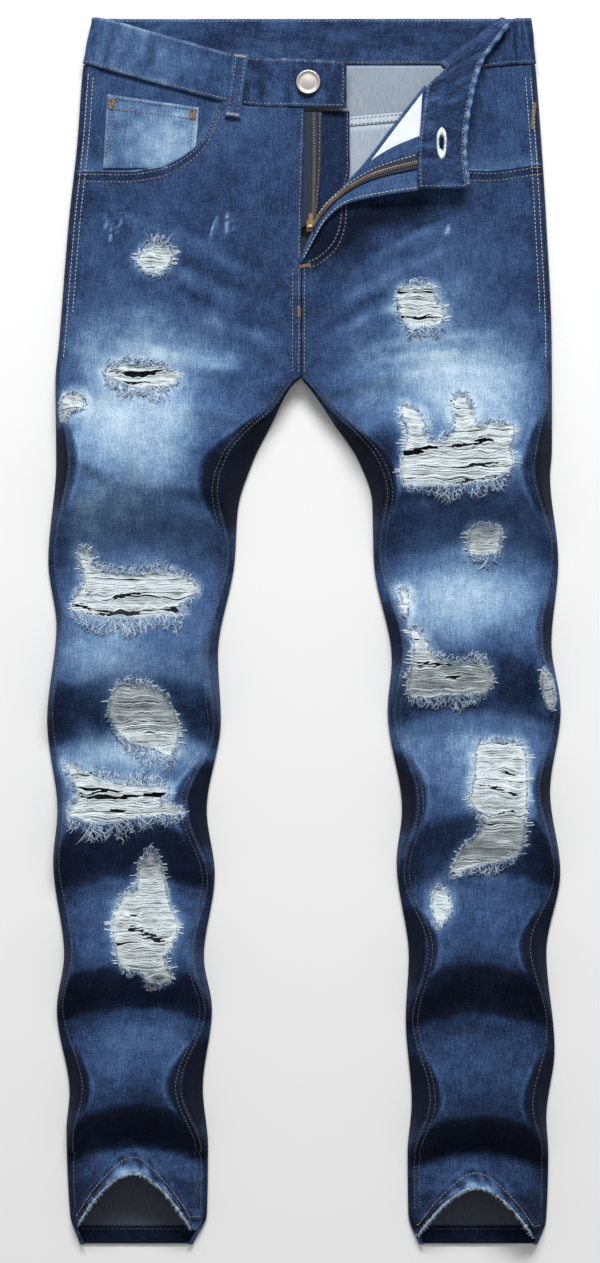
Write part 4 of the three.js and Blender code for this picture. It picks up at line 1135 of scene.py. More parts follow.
def cloth_piece(name, points, level, thickness, round_edge=1.6, material=None, keep=None,
                replaces=False, turned=False, fan=False):
    """A grid of points as a sewn cloth piece with rounded edges; level is how far it is washed out.

    turned turns its weave by a right angle, and replaces hides the CAD node of the same name.
    """
    rows, columns, _ = points.shape
    quads = grid_faces(rows, columns, keep)
    along_u = np.linalg.norm(np.diff(points, axis=0, prepend=points[:1]), axis=2).cumsum(axis=0)
    along_v = np.linalg.norm(np.diff(points, axis=1, prepend=points[:, :1]), axis=2).cumsum(axis=1)
    kept, quads, used = drop_loose(points.reshape(-1, 3), quads)
    obj = new_piece(name, kept, quads.tolist(), [material or DENIM_OUT])
    note_cloth(obj, points, fan=fan)
    u, v = (along_v, along_u) if turned else (along_u, along_v)
    set_cloth_map(obj, u.ravel()[used], v.ravel()[used])
    set_attribute(obj, "wash_and_shade", clamp01(np.broadcast_to(level, (rows, columns))).ravel()[used])
    total_u, total_v = along_u[-1:], along_v[:, -1:]
    edge = np.minimum(np.minimum(along_u, total_u - along_u), np.minimum(along_v, total_v - along_v))
    weight = lerp(0.4, 1.0, np.sqrt(clamp01(edge / round_edge)))
    thicken(obj, thickness, 0, weight.ravel()[used])
    if replaces:
        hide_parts(name)


def edge_spread(count, edge=0.045):
    """Shares from 0 to 1 with extra ones near both ends, where cloth edges turn."""
    inner = np.linspace(edge * 1.6, 1 - edge * 1.6, count - 4)
    return np.concatenate([[0, edge * 0.6], inner, [1 - edge * 0.6, 1]])


def band_level(place, down):
    """Wear of the waistband: pale along its edges and over its thick places."""
    edge = np.minimum(down, 1 - down)
    run = place * BAND_STEP
    wear = 0.16 * smooth(0.10, 0.0, edge) * (0.8 + 0.5 * noise(run, down * 9, 1.2, 53))
    wear = wear + 0.10 * noise(run, down * 6, 2.4, 54) + 0.05 * noise(run, down * 9, 0.8, 55)
    base = np.where(place < 6.5, 0.29 + 0.11 * smooth(2.0, 2.9, place), np.where(place < 12, 0.33, 0.29))
    base = base + 0.09 * np.exp(-(((place - 3.4) / 0.9) ** 2)) + 0.05 * noise(run, down * 0, 4.5, 56)
    return base + wear


def waistband():
    """The band in its three parts, with the buttonhole cut and its rows of stitches on both faces."""
    parts = (("waistband_right", 0, RIGHT_SIDE - 0.02, 150),
             ("waistband_back", RIGHT_SIDE + 0.02, LEFT_SIDE - 0.02, 190),
             ("waistband_left", LEFT_SIDE + 0.02, BAND_END, 190))
    for name, first, last, count in parts:
        place = np.linspace(first, last, count)[:, None]
        down = edge_spread(22)[None, :]
        points = band_surface(place, down)
        middle = (points[:-1, :-1] + points[1:, 1:]) / 2
        hx, hy, hw, hh = BUTTONHOLE
        hole = ((middle[..., 0] - hx) / hw * 2) ** 2 + ((middle[..., 1] - hy) / hh * 2) ** 2 < 0.9
        keep = ~(hole & (middle[..., 2] > 18))
        cloth_piece(name, points, band_level(place, down), BAND, replaces=True, keep=keep)
    rows, pale = [], []
    for side in (1, -1):
        out = side * (BAND / 2 + 0.02)
        for down in (0.055, 0.945):
            rows.append(band_surface(np.linspace(0.06, BAND_END - 0.04, 1500), down, out))
        rows.append(band_surface(0.07, np.linspace(0.06, 0.94, 40), out))
        rows.append(band_surface(BAND_END - 0.07, np.linspace(0.06, 0.94, 40), out))
    for down in (0.035, 0.085, 0.93):
        pale.append(band_surface(np.linspace(17.2, BAND_END - 0.05, 300), down, BAND / 2 + 0.04))
    stitches("waistband_stitches", rows, 0.34)
    stitches("waistband_pale_stitches", pale, 0.42, PALE_STITCH)


def buttonhole():
    """Dense pale thread round the hole at the end of the strip."""
    x, y, width, height = BUTTONHOLE
    turn = np.linspace(0, 2 * math.pi, 130)
    strands, tone = [], []
    rng = np.random.default_rng(12)
    z = float(along([(361.5, 24.8), (394, 22.8), (424, 20.8)], y)) + BAND / 2 + 0.25
    for a in turn[:-1]:
        c, s = math.cos(a), math.sin(a)
        radius = np.array([0.42, 0.62, 0.82, 1.0])
        px = x + c * radius * (width / 2 + 2.6) + rng.normal(0, 0.1)
        py = y + s * radius * (height / 2 + 1.4) + rng.normal(0, 0.15)
        tilt = (y - py) * 0.062
        strands.append(np.stack([px, py, z + tilt + np.array([-1.6, 0.2, 0.3, -0.4])], axis=1))
        tone.append(clamp01(rng.normal(0.6, 0.2)))
    tubes("buttonhole_thread", strands, 0.34, WEFT, tone)


def belt_loop(name, start, end, z, width=12.0, level=0.34, under=False, tacked=True):
    """One belt loop: a folded strip with two rows of stitches and a bartack at each end."""
    start, end = np.array(start, dtype=float), np.array(end, dtype=float)
    ahead = (end - start) / np.linalg.norm(end - start)
    side = np.array([-ahead[1], ahead[0]])
    length = np.linalg.norm(end - start)
    s, t = np.linspace(0, 1, 46)[:, None], edge_spread(14, 0.08)[None, :]
    flat = start[None, None] + (ahead * length)[None, None] * s[..., None]
    flat = flat + side[None, None] * ((t - 0.5) * width * (1 + 0.06 * np.cos(6.28 * s)))[..., None]
    turn, swell = (-1.0, 0.15) if under else (1.0, 0.9)
    arch = swell * np.sin(math.pi * s) + 0.5 * swell * (1 - (2 * t - 1) ** 2) - 0.7 * swell
    height = z + turn * arch
    points = np.concatenate([flat, height[..., None]], axis=2)
    wear = 0.16 * smooth(0.2, 0.0, np.minimum(t, 1 - t)) + 0.05 * noise(s * 40, t * 9, 4, 61)
    thickness = 0.9 if under else 1.5
    cloth_piece(name, points, level + wear, thickness, 1.0, replaces=True)
    rows = []
    up = turn * (thickness / 2 + 0.1)
    stitched = np.linspace(0.02, 0.98, 30)
    for share in (-0.3, 0.3):
        line = start + ahead * length * stitched[:, None] + side * width * share
        rise = swell * (np.sin(math.pi * stitched) - 0.4)
        rows.append(np.column_stack([line, z + turn * rise + up]))
    stitches(name + "_stitches", rows, 0.34, upside=turn)
    if tacked:
        tacks = []
        for share in (0.05, 0.95):
            centre = start + ahead * length * share
            here = z + turn * swell * (math.sin(math.pi * share) - 0.35) + up
            tacks.append(bartack(centre, width * 0.86, 2.2, math.atan2(side[1], side[0]), here))
        stitches(name + "_bartacks", tacks, 0.3, LOOP_TACK, pitch=2.4, upside=turn)


# ---------------------------------------------------------------- folded flap and open fly


def curve(points, count):
    """Smooth open curve through points, evenly counted."""
    return centripetal(points, np.linspace(0, len(points) - 1, count))


def fold_distance(x, y):
    """Distance from the crease of the folded front, over the flap."""
    line = curve([(x, y) for y, x in FOLD_LINE], 120)
    return np.min(np.hypot(x[..., None] - line[:, 0], y[..., None] - line[:, 1]), axis=-1)


def flap_height(x, y, layer=0.0):
    """Height of the turned flap, or of a layer sewn on it, rising away from the crease."""
    wrinkle = 0.35 * noise(x, y, 13, 71)
    return 14.6 + 0.18 * fold_distance(x, y) + layer + wrinkle


def ruled(first, last, rows, columns, height, edge=0.06):
    """Grid of points between two curves, with its height from a function of x and y."""
    a, b = curve(first, rows)[:, None], curve(last, rows)[:, None]
    share = edge_spread(columns, edge)[None, :, None]
    flat = lerp(a, b, share)
    z = height(flat[..., 0], flat[..., 1])
    return np.concatenate([flat, z[..., None]], axis=2)


# The flap's free edge and the two edges of its zip tape, as (x, y).
FLAP_FREE = [(-1.2, 303), (10, 324), (17.5, 336), (33, 349), (64.6, 356.5), (93, 360)]
TAPE_UPPER = [(6.5, 333), (20, 353), (41, 370), (58, 380), (75, 386), (92.5, 391)]
TAPE_LOWER = [(7.5, 331), (21.5, 349), (45, 365), (62, 371.5), (92.5, 378)]


def flap():
    """The folded-over part of the left front, and what is sewn to its inside."""
    rows = 90
    fold = curve([(x, y) for y, x in reversed(FOLD_LINE)], rows)
    free = curve(FLAP_FREE, rows)
    ahead = np.gradient(fold, axis=0)
    ahead /= np.linalg.norm(ahead, axis=1, keepdims=True)
    out = np.stack([-ahead[:, 1], ahead[:, 0]], axis=1)
    bend_steps = 9
    angle = np.linspace(-math.pi / 2, math.pi / 2, bend_steps)
    radius = 1.35
    roll = fold[:, None] + out[:, None] * (radius * np.cos(angle))[None, :, None]
    roll_z = np.broadcast_to(HIP_HEIGHT + radius + radius * np.sin(angle), (rows, bend_steps))
    share = np.linspace(0, 1, 26)[None, 1:, None]
    flat = lerp(fold[:, None], free[:, None], share)
    flat_z = flap_height(flat[..., 0], flat[..., 1])
    points = np.concatenate([np.concatenate([roll, roll_z[..., None]], axis=2),
                             np.concatenate([flat, flat_z[..., None]], axis=2)], axis=1)
    level = np.full((rows, points.shape[1]), 0.33)
    level[:, :bend_steps] += 0.10
    level[:, -2:] += 0.22
    level = level + 0.05 * noise(points[..., 0], points[..., 1], 5, 72)
    cloth_piece("flap_turned", points, level, DENIM, 0.8, fan=True)
    bag = ruled([(53, 383), (74, 411), (97, 441)], [(53, 383), (73, 392.5), (95, 404)], 40, 20,
                lambda x, y: flap_height(x, y, 1.5))
    cloth_piece("pocket_bag_left", bag, 0.5, 0.7, material=COTTON, replaces=True,
                fan=True)
    facing = ruled([(43, 373.5), (57, 387), (74, 397), (94, 405)],
                   [(41, 370), (58, 380), (75, 386), (94, 391)], 50, 12, lambda x, y: flap_height(x, y, 2.7))
    cloth_piece("fly_facing", facing, 0.38, 0.8, replaces=True)
    tape = ruled(TAPE_UPPER, TAPE_LOWER, 70, 12, lambda x, y: flap_height(x, y, 3.4))
    cloth_piece("zip_tape_left", tape, 0.5, 0.8, material=TAPE, replaces=True)
    strip = ruled(TAPE_LOWER, FLAP_FREE[1:], 70, 10, lambda x, y: flap_height(x, y, 1.5))
    cloth_piece("flap_edge", strip, 0.42, 1.6)


def path_over(points, count, height):
    """A path along a smooth curve, at a fixed height or at one worked out from x and y."""
    line = curve(points, count)
    z = height(line[:, 0], line[:, 1]) if callable(height) else np.full(count, height)
    return np.column_stack([line, z])


def zip_teeth(name, path, side):
    """Moulded metal teeth: one small rounded block every 1.6 mm along a tape's edge."""
    at, length = resample(path, 1.65)
    here = np.stack([np.interp(at, length, path[:, k]) for k in range(3)], axis=1)
    after = np.stack([np.interp(at + 0.5, length, path[:, k]) for k in range(3)], axis=1)
    ahead = after - here
    ahead /= np.linalg.norm(ahead, axis=1, keepdims=True) + 1e-9
    across = np.cross(ahead, [0, 0, 1.0]) * side
    vertices, faces = [], []
    profile = [(-1.5, 0.36), (-1.1, 0.5), (0.9, 0.5), (1.5, 0.36)]
    for p, a, c in zip(here, ahead, across):
        base = len(vertices)
        for reach, half in profile:
            for da, dz in ((-half, -0.5), (half, -0.5), (half, 0.55), (-half, 0.55)):
                lift_z = dz * (1.0 if abs(reach) < 1.2 else 0.7)
                vertices.append(p + c * reach + a * da + np.array([0, 0, lift_z]))
        for ring in range(len(profile) - 1):
            for k in range(4):
                n = (k + 1) % 4
                first = base + ring * 4
                faces.append((first + k, first + n, first + 4 + n, first + 4 + k))
        faces.append((base + 3, base + 2, base + 1, base))
        faces.append((base + 12, base + 13, base + 14, base + 15))
    new_piece(name, vertices, faces, [BRASS_DARK], shade_smooth=False)


def fly_right():
    """The right side of the open fly: shield, tape and teeth."""
    shield = ruled([(-1.5, 428), (-2.5, 380), (-4, 330)],
                   [(37.5, 428), (37.5, 400), (37, 374), (30, 358), (20, 345), (9, 334)], 60, 22,
                   lambda x, y: 6.6 + 0.5 * noise(x, y, 14, 73) + 0.02 * (37 - x))
    cloth_piece("fly_shield", shield, 0.20, DENIM, replaces=True, turned=True)
    tape = ruled([(-2, 427), (-2.5, 390), (-4, 330)], [(15, 427), (14, 380), (10, 336)], 60, 10,
                 lambda x, _: np.full(x.shape, 9.9))
    cloth_piece("zip_tape_right", tape, 0.5, 0.8, material=TAPE, replaces=True, turned=True)
    zip_teeth("zip_teeth_right", path_over([(8.2, 426), (8.4, 385), (7.6, 338)], 60, 10.6), 1)
    rows = [path_over([(13.2, 426), (12.4, 380), (9.6, 341)], 60, 10.5)]
    stitches("zip_tape_stitches", rows, 0.3)
    edge = [(35.6, 426), (35.6, 400), (35, 375), (28.5, 359), (19, 347)]
    rows = [path_over(edge, 60, 7.5)]
    stitches("shield_stitches", rows, 0.32)


def flap_trim():
    """Teeth and stitches on the turned flap."""
    upper, lower = curve(TAPE_UPPER, 7), curve(TAPE_LOWER, 7)
    middle = lerp(upper, lower, 0.62)
    zip_teeth("zip_teeth_left", path_over(middle, 90, lambda x, y: flap_height(x, y, 4.1)), -1)
    rows = [path_over(lerp(upper, lower, 0.12), 90, lambda x, y: flap_height(x, y, 3.95))]
    inner = [(x + 0.6, y + 2.4) for x, y in FLAP_FREE]
    rows.append(path_over(inner, 90, lambda x, y: flap_height(x, y, 2.6)))
    stitches("flap_stitches", rows, 0.34, PALE_STITCH)


# ---------------------------------------------------------------- pockets and yokes


def hip_facing(name, leg, edge, lap_y, level):
    """The denim facing that shows in a front pocket's mouth."""
    rows, columns = 40, 48
    x_in = {-1: -60.0, 1: 114.0}[leg.outward]
    t = np.linspace(0, 1, columns)[None, :]
    s = np.linspace(0, 1, rows)[:, None]
    outer = leg.outer_x(np.linspace(462, lap_y, rows))[:, None] - leg.outward * 1.6
    x = lerp(outer, x_in, t ** 1.15)
    top = band_seam_y(x) + 3.0 if leg.outward < 0 else np.where(x > 116, 465.6, 461)
    bottom = np.minimum(along(edge, x) - 7, top - 6)
    y = lerp(top, bottom, s)
    x = np.where(np.abs(x) > 168, np.sign(x) * np.minimum(np.abs(x), np.abs(leg.outer_x(y)) - 1.6), x)
    wall = wall_rise(np.abs(x - leg.outer_x(y)) / ROUND)
    z = lerp(EDGE + 1.6, 10.1, wall) + 0.25 * noise(x, y, 11, 81)
    points = np.stack([x, y, z], axis=2)
    fade_level = level + 0.06 * noise(x, y, 14, 82) + 0.12 * smooth(14, 2, np.abs(along(edge, x) - y))
    cloth_piece(name, points, fade_level, DENIM, 0.5, replaces=True, turned=True)


def coin_pocket():
    """The small pocket in the right mouth, with double stitches and two bartacks."""
    corners = np.array([(-161.5, 441.0), (-86.0, 430.0), (-165.0, 380.0), (-90.0, 380.0)])

    def at(u, v):
        """A point of the pocket by its shares across and down."""
        return lerp(lerp(corners[0], corners[1], u), lerp(corners[2], corners[3], u), v)

    rows, columns = 46, 46
    s, t = edge_spread(rows, 0.02)[:, None], edge_spread(columns, 0.02)[None, :]
    flat = at(t[..., None], s[..., None])
    x, y = flat[..., 0], flat[..., 1]
    belly = 0.8 * np.sin(math.pi * t) * smooth(0, 0.3, s)
    z = 11.55 + 0.35 * noise(x, y, 12, 83) + belly * 0.6
    keep_y = along(RIGHT_SCOOP, x)
    middle_y = (y[:-1, :-1] + y[1:, 1:]) / 2
    middle_edge = (keep_y[:-1, :-1] + keep_y[1:, 1:]) / 2
    points = np.stack([x, y, np.minimum(z, 12.2)], axis=2)
    worn = 0.30 * np.exp(-(((x + 112) / 34) ** 2 + ((y - 402) / 26) ** 2) * (1 + 0.4 * noise(x, y, 9, 84)))
    level = 0.51 + worn + 0.08 * noise(x, y, 8, 85)
    level = level + 0.14 * smooth(4, 0, s * 60) + 0.10 * smooth(0.06, 0, np.minimum(t, 1 - t))
    cloth_piece("coin_pocket", points, level, 1.0, 1.0, replaces=True,
                keep=middle_y > middle_edge - 3.0, turned=True)
    rows = []
    for v in (0.04, 0.19):
        rows.append(np.array([[*at(u, v), 12.75] for u in np.linspace(0.03, 0.97, 60)]))
    for u in (0.03, 0.085, 0.945):
        line = np.array([[*at(u, v), 12.6] for v in np.linspace(0.04, 0.97, 60)])
        rows.append(line[line[:, 1] > along(RIGHT_SCOOP, line[:, 0]) + 2])
    stitches("coin_pocket_stitches", [r for r in rows if len(r) > 3], 0.34)
    tacks = [bartack(at(0.06, 0.12), 8, 5, 1.4, 12.9), bartack(at(0.94, 0.12), 8, 5, 1.4, 12.9)]
    stitches("coin_pocket_bartacks", tacks, 0.5, BARTACK, pitch=3.4)


def pocket_mouths():
    """Double rows of stitches along both pocket mouths, and the folded mouth edges."""
    rows = []
    for leg, edge, x in ((RIGHT, RIGHT_SCOOP, np.linspace(-186, -70, 160)),
                         (LEFT, LEFT_SCOOP, np.linspace(132, 195, 90))):
        rows += [over_front(leg, x, along(edge, x) - drop) for drop in (2.4, 8.2)]
    stitches("pocket_mouth_stitches", rows, 0.36)
    for name, leg, edge, low, high in (("mouth_right", RIGHT, RIGHT_SCOOP, -187, -69),
                                       ("mouth_left", LEFT, LEFT_SCOOP, 120, 195)):
        x = np.linspace(low, high, 150)
        y = along(edge, x) + 0.1
        rolled = []
        for angle in np.linspace(-0.6, math.pi, 7):
            z = leg.height(x, y) + 0.1 + 0.9 * np.cos(angle)
            rolled.append(np.stack([x, y + 0.9 * np.sin(angle) - 0.2, z], axis=1))
        points = np.stack(rolled, axis=1)
        level = 0.50 + 0.16 * noise(x, y, 5, 86)[:, None]
        cloth_piece(f"pocket_{name}", points, level, 0.5, 0.3)


def yoke(name, leg, rows=26):
    """The back yoke of one side, between the waistband and the back panel."""
    x, y, z = back_rows(leg, np.linspace(BAND_Y - 0.6, YOKE_SIDE_Y, rows + 1))
    down = np.linspace(0, 1, rows + 1)[:, None]
    y = lerp(BAND_Y - 0.6, yoke_y(x) + 0.4, down) + 0 * x
    # The yoke's inside takes painted shadow from the waistband above it.
    back_sheet(name, leg, x, y, z, 0.26 + 0.05 * noise(x, y, 20, 91), 0.42 + 0.04 * noise(x, y, 20, 94))


def back_pocket(name, centre_x):
    """A patch pocket on the seat: five-sided, with a hemmed top and double stitches."""
    rows, columns = 50, 44
    s, t = edge_spread(rows, 0.015)[:, None], edge_spread(columns, 0.015)[None, :]
    half, top, low = 68.0, 389.0, 244.0
    x = centre_x + (t * 2 - 1) * half * (1 - 0.10 * s)
    bottom = low + 20 * np.abs(t * 2 - 1)
    y = lerp(top, bottom, s)
    z = 0.75 + 0.12 * noise(x, y, 16, 92)
    points = np.stack([x, y, z], axis=2)
    edge = np.minimum(np.minimum(t, 1 - t) * 2 * half, np.minimum(s, 1 - s) * 140)
    level = 0.32 + 0.14 * smooth(3, 0, edge) + 0.10 * noise(x, y, 22, 93)
    level = level + 0.12 * np.exp(-(((x - centre_x) / 46) ** 2 + ((y - 300) / 44) ** 2))
    cloth_piece(name, points, level, 1.1, 1.0, replaces=True, turned=True)
    rows = []

    def outline(inset):
        """The pocket's edge, moved in by an inset."""
        h = half - inset
        low_y = low + inset
        return [(centre_x - h, top - 1), (centre_x - h * 0.9, low_y + 19), (centre_x, low_y),
                (centre_x + h * 0.9, low_y + 19), (centre_x + h, top - 1)]

    for inset in (2.5, 8.5):
        corners = outline(inset)
        for a, b in zip(corners, corners[1:]):
            share = np.linspace(0, 1, 40)[:, None]
            line = lerp(np.array(a), np.array(b), share)
            rows.append(np.column_stack([line, np.full(40, 0.42)]))
    for y_line in (top - 3, top - 13):
        rows.append(np.column_stack([np.linspace(centre_x - 65, centre_x + 65, 60), np.full(60, y_line),
                                     np.full(60, 0.42)]))
    stitches(name + "_stitches", rows, 0.36, upside=-1.0)


# ---------------------------------------------------------------- seams and hems


def seam_stitches():
    """Rows of stitches along the side, inner, centre and fly seams of the front."""
    rows, pale, dark = [], [], []
    for leg, top in ((RIGHT, 458), (LEFT, 455)):
        y = np.linspace(top, 225, 300)
        pale.append(over_front(leg, leg.seams(y, "front")[0] - leg.outward * 1.9, y))
        y = np.linspace(222, HEM_Y + 30, 700)
        dark.append(over_front(leg, leg.seams(y, "front")[0] - leg.outward * 1.9, y))
        y = np.linspace(455, 262, 190)
        pale.append(over_front(leg, leg.seams(y, "front")[0] - leg.outward * 6.2, y))
        y = np.linspace(CROTCH_Y - 4, HEM_Y + 30, 700)
        _, inner = leg.seams(y, "front")
        dark.append(over_front(leg, inner + leg.outward * 1.9, y))
        dark.append(over_front(leg, inner + leg.outward * 6.0, y))
        outer, inner = leg.seams(-480, "front")
        x = np.linspace(outer - leg.outward * 2, inner + leg.outward * 2, 120)
        rows.append(over_front(leg, x, hem_y(leg, x) + HEM_BAND - 4.5, 1.65))
    y = np.linspace(428, 306, 120)
    rows.append(over_front(RIGHT, along(RIGHT.front, y) - 2.2, y))
    y = np.linspace(FLY_FOOT_Y - 4, CROTCH_Y + 3, 100)
    rows += [over_front(RIGHT, CENTRE_X - 2.2 + 0 * y, y), over_front(RIGHT, CENTRE_X - 7.4 + 0 * y, y),
             over_front(LEFT, CENTRE_X + 2.4 + 0 * y, y)]
    for turn in ([(35, 350), (33.5, 332), (27, 315), (13, 302), (3, 298)],
                 [(31, 350), (29.5, 333), (24, 319), (11, 306.5), (3, 303)]):
        line = curve(turn, 70)
        rows.append(over_front(LEFT, line[:, 0], line[:, 1]))
    stitches("seam_stitches", rows, 0.36)
    stitches("side_stitches", pale, 0.30, PALE_STITCH)
    stitches("leg_stitches", dark, 0.32, SHADED_STITCH)
    tacks = [bartack((1, 300), 9, 3, 0.2, HIP_HEIGHT + 1.1), bartack((-4, 262), 8, 3, 1.57, HIP_HEIGHT + 1.2),
             bartack((188.5, 423), 22, 3, 1.5, 11.6), bartack((-62, 437), 7, 3, 1.2, HIP_HEIGHT + 1.0)]
    stitches("seam_bartacks", tacks, 0.4, BARTACK, pitch=2.6)


def hem_fluff(name, leg, rng):
    """Pale worn ends along the front hem's lower edge."""
    strands, tone = [], []
    t = np.linspace(0, 1, 4)
    low, high = sorted((leg.seams(-486, "front")[0], leg.seams(-486, "front")[1]))
    for px in rng.uniform(low + 2, high - 2, 900):
        angle = -math.pi / 2 + rng.normal(0, 1.0)
        length = rng.uniform(0.9, 4.2)
        x = px + math.cos(angle) * length * (t - 0.3)
        y = hem_y(leg, px) + 1.2 + math.sin(angle) * length * (t - 0.3)
        z = leg.height(x, y) + rng.uniform(-1.0, 1.5) + 0.3 * t
        strands.append(np.stack([x, y, z], axis=1))
        tone.append(clamp01(rng.normal(0.6, 0.22)))
    tubes(name, strands, np.linspace(0.36, 0.16, 4)[None, :], WARP, tone)


def back_hem(name, leg):
    """The turned-up band inside the back of a hem, with its row of stitches."""
    s, t = edge_spread(14, 0.06)[:, None], edge_spread(90, 0.01)[None, :]
    y = lerp(HEM_Y + HEM_BAND, HEM_Y + 0.6, s) + 0 * t
    outer = leg.outer_x(y) - leg.outward * 2.4
    inner = leg.inner_x(y, "back") + leg.outward * 2.4
    x = lerp(outer, inner, t)
    z = 1.95 + 0.15 * noise(x, y, 7, 95) + 0.1 * np.sin((x + y) * 0.55)
    points = np.stack([x, y, z], axis=2)
    level = 0.10 + 0.10 * smooth(0.12, 0.0, np.minimum(s, 1 - s)) + 0.04 * noise(x, y, 4, 96)
    cloth_piece(name, points, level, 1.2, 0.8, material=DENIM_DARK)
    line_x = np.linspace(points[0, 2, 0], points[0, -3, 0], 120)
    line_y = np.full(120, HEM_Y + HEM_BAND - 2.6)
    for where, height, side in (("inside", 2.62, 1), ("outside", 0.34, -1)):
        row = np.column_stack([line_x, line_y, np.full(120, height)])
        stitches(f"{name}_{where}_stitches", [row], 0.34, SHADED_STITCH, upside=side)


def inside_seam():
    """The yoke seam as it shows inside the open fly: a flat fell with two rows of stitches."""
    x = np.linspace(28, 118, 80)
    s = edge_spread(10, 0.1)[None, :]
    y = yoke_y(x)[:, None] + lerp(0.5, 8.0, s)
    z = DENIM + UNDER_THREADS + POCKET_LIFT + 0.4 + 0 * y
    points = np.stack([x[:, None] + 0 * s, y, z], axis=2)
    cloth_piece("inside_seam", points, 0.3, 0.9, 0.8, material=DENIM_IN)
    rows = [np.column_stack([x, yoke_y(x) + rise, np.full(80, 4.05)]) for rise in (1.8, 6.6)]
    stitches("inside_seam_stitches", rows, 0.42, TAN_STITCH)


def revolve(name, centre, profile, material, steps=48):
    """A turned part: profile is (radius, height) from its middle outwards and down."""
    turn = np.linspace(0, 2 * math.pi, steps, endpoint=False)
    vertices, faces = [], []
    for radius, height in profile:
        for a in turn:
            vertices.append((centre[0] + radius * math.cos(a), centre[1] + radius * math.sin(a), height))
    for ring in range(len(profile) - 1):
        for k in range(steps):
            n = (k + 1) % steps
            faces.append((ring * steps + k, (ring + 1) * steps + k, (ring + 1) * steps + n, ring * steps + n))
    faces.append(tuple(range(steps)))
    faces.append(tuple(reversed(range((len(profile) - 1) * steps, len(profile) * steps))))
    return new_piece(name, vertices, faces, [material])


def button():
    """The worn shank button: a dished face in a rolled rim, on a short shank."""
    profile = [(0.6, 17.75), (2.4, 17.7), (4.4, 17.55), (6.2, 17.4), (7.2, 17.38), (7.8, 17.55), (8.3, 17.95),
               (8.9, 18.2), (9.5, 18.1), (9.9, 17.6), (9.9, 17.0), (9.5, 16.5), (8.6, 16.2), (4.2, 16.0),
               (3.2, 15.4), (3.2, 14.4)]
    obj = revolve("button_face", (3.5, 450), profile, BUTTON_METAL)
    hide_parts("button")


def strip_roll():
    """The thick worn edge of the waistband's turned end."""
    place = np.linspace(17.0, BAND_END - 0.1, 220)
    path = band_surface(place, 0.0) + np.array([0.4, 0, 0.2])
    ahead = np.gradient(path, axis=0)
    ahead /= np.linalg.norm(ahead, axis=1, keepdims=True)
    side = np.cross(ahead, [0, 0, 1.0])
    side /= np.linalg.norm(side, axis=1, keepdims=True)
    over = np.cross(side, ahead)
    turn = np.linspace(0, 2 * math.pi, 10)
    run = place * BAND_STEP
    radius = 1.75 + 0.25 * np.sin(run * 1.4) + 0.2 * noise(run, 0 * run, 3, 97)
    ring = side[:, None] * np.cos(turn)[None, :, None] + over[:, None] * np.sin(turn)[None, :, None]
    points = path[:, None] + radius[:, None, None] * ring
    level = 0.55 + 0.10 * np.sin(run * 1.4)[:, None] + 0.12 * noise(run[:, None], turn[None, :] * 3, 1.5, 98)
    cloth_piece("strip_edge", points, level, 0.4, 0.1)


# ---------------------------------------------------------------- build

front_panel("front_right", RIGHT, right_top, 378, 1.0)
front_panel("front_left", LEFT, left_top, 384, 74.0)
back_panel("back_right", RIGHT)
back_panel("back_left", LEFT)
yoke("yoke_right", RIGHT)
yoke("yoke_left", LEFT)
waistband()
buttonhole()
flap()
flap_trim()
fly_right()
hip_facing("pocket_facing_right", RIGHT, RIGHT_SCOOP, 372, 0.36)
hip_facing("pocket_facing_left", LEFT, LEFT_SCOOP, 376, 0.33)
coin_pocket()
pocket_mouths()
belt_loop("belt_loop_front_right", (-51.5, 474), (-58.5, 421), 15.4)
belt_loop("belt_loop_front_left", (132, 420), (99, 418.5), 18.3, level=0.30, tacked=False)
for which, loop_x in (("back", -2), ("back_right", -112), ("back_left", 112)):
    belt_loop(f"belt_loop_{which}", (loop_x, 503), (loop_x, 458), 0.9, under=True)
back_pocket("back_pocket_right", -96)
back_pocket("back_pocket_left", 94)
seam_stitches()
inside_seam()
strip_roll()
button()
for metal_node in ("zip_slider", "zip_pull"):
    metal_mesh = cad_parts[metal_node].data
    metal_mesh.materials.clear()
    metal_mesh.materials.append(BRASS)
RNG = np.random.default_rng(7)
for side, leg in (("right", RIGHT), ("left", LEFT)):
    rip_threads(f"weft_{side}", leg, RNG)
    rip_fringe(f"fringe_{side}", leg, RNG)
    rip_fluff(f"fluff_{side}", leg, RNG)
    hem_fluff(f"hem_fluff_{side}", leg, RNG)
    back_hem(f"back_hem_{side}", leg)

# ---------------------------------------------------------------- floor, light and camera

# Height of the view as a multiple of the jeans' length.
VIEW_MARGIN = 1.028


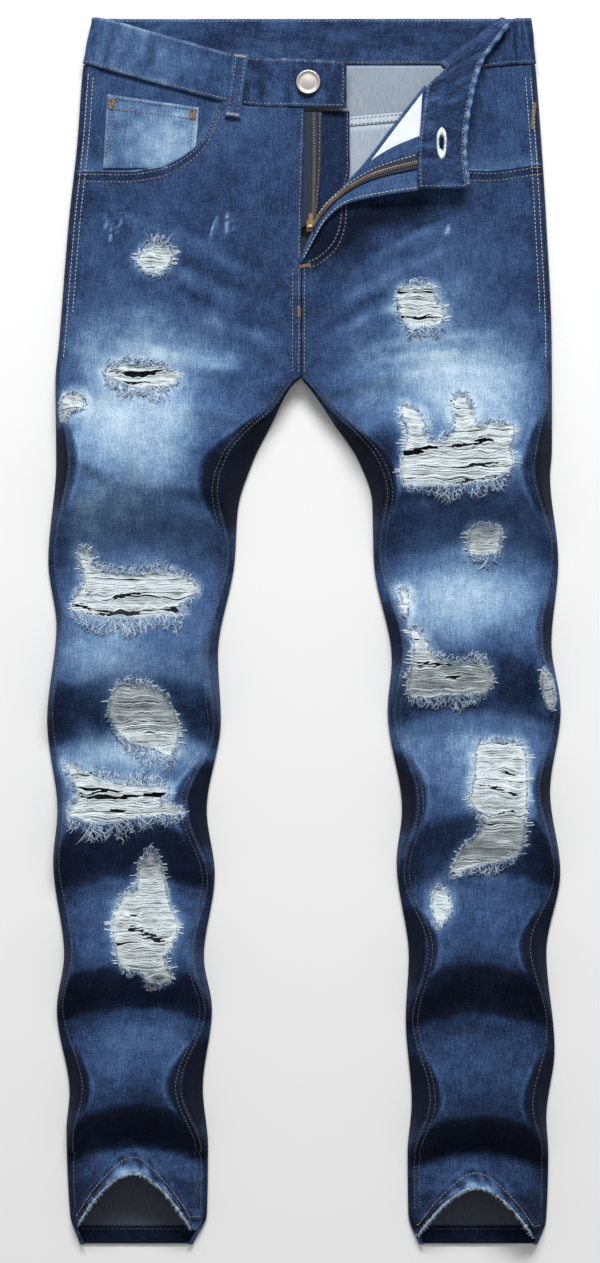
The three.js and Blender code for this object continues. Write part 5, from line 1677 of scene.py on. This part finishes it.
def stage():
    """Pale floor, one soft light and a camera straight above."""
    middle = (CAD_LOW + CAD_HIGH) / 2
    floor_mesh = bpy.data.meshes.new("floor")
    size = 6.0
    corners = [(-size, -size), (size, -size), (size, size), (-size, size)]
    floor_mesh.from_pydata([(x, y, CAD_LOW.z - 0.0002) for x, y in corners], [], [(0, 1, 2, 3)])
    floor = bpy.data.objects.new("floor", floor_mesh)
    bpy.context.scene.collection.objects.link(floor)
    floor_nodes = Nodes("floor", roughness=0.95)
    floor_mesh.materials.append(floor_nodes.colour((0.92, 0.92, 0.92)))

    world = bpy.data.worlds.new("studio")
    bpy.context.scene.world = world
    world.use_nodes = True
    background = world.node_tree.nodes["Background"]
    background.inputs["Color"].default_value = (1.0, 1.0, 1.0, 1.0)
    background.inputs["Strength"].default_value = 0.35

    light = bpy.data.lights.new("key", "AREA")
    light.shape = "RECTANGLE"
    light.size, light.size_y = 2.2, 0.9
    light.energy = 150
    key = bpy.data.objects.new("key", light)
    key.location = (0.15, 2.9, 2.3)
    key.rotation_mode = "QUATERNION"
    key.rotation_quaternion = (middle - key.location).to_track_quat("-Z", "Y")
    bpy.context.scene.collection.objects.link(key)

    camera = bpy.data.cameras.new("camera")
    camera.lens = 85
    camera.sensor_width = 36
    camera.dof.use_dof = False
    view_height = VIEW_MARGIN * (CAD_HIGH.y - CAD_LOW.y)
    distance = view_height * camera.lens / camera.sensor_width
    obj = bpy.data.objects.new("camera", camera)
    obj.location = (middle.x - 3 * MM, middle.y, CAD_HIGH.z * 0.3 + distance)
    obj.rotation_euler = (0, 0, 0)
    bpy.context.scene.collection.objects.link(obj)
    bpy.context.scene.camera = obj
    bpy.context.scene.view_settings.view_transform = "Standard"


stage()

# ---------------------------------------------------------------- cloth pieces and their trimmings

# Pieces narrower than this, in metres, are skipped.
NARROWEST_SHEET = 0.01

# What is fastened to each cloth piece.
TRIMMINGS = {
    f"front_{side}": [f"{kind}_{side}" for kind in ("weft", "fringe", "fluff", "hem_fluff", "pocket_mouth")]
    for side in ("right", "left")
}
TRIMMINGS["yoke_left"] = ["inside_seam"]
for cloth, (width, length, area), rests_on in CLOTH:
    if min(width, length) < NARROWEST_SHEET:
        continue
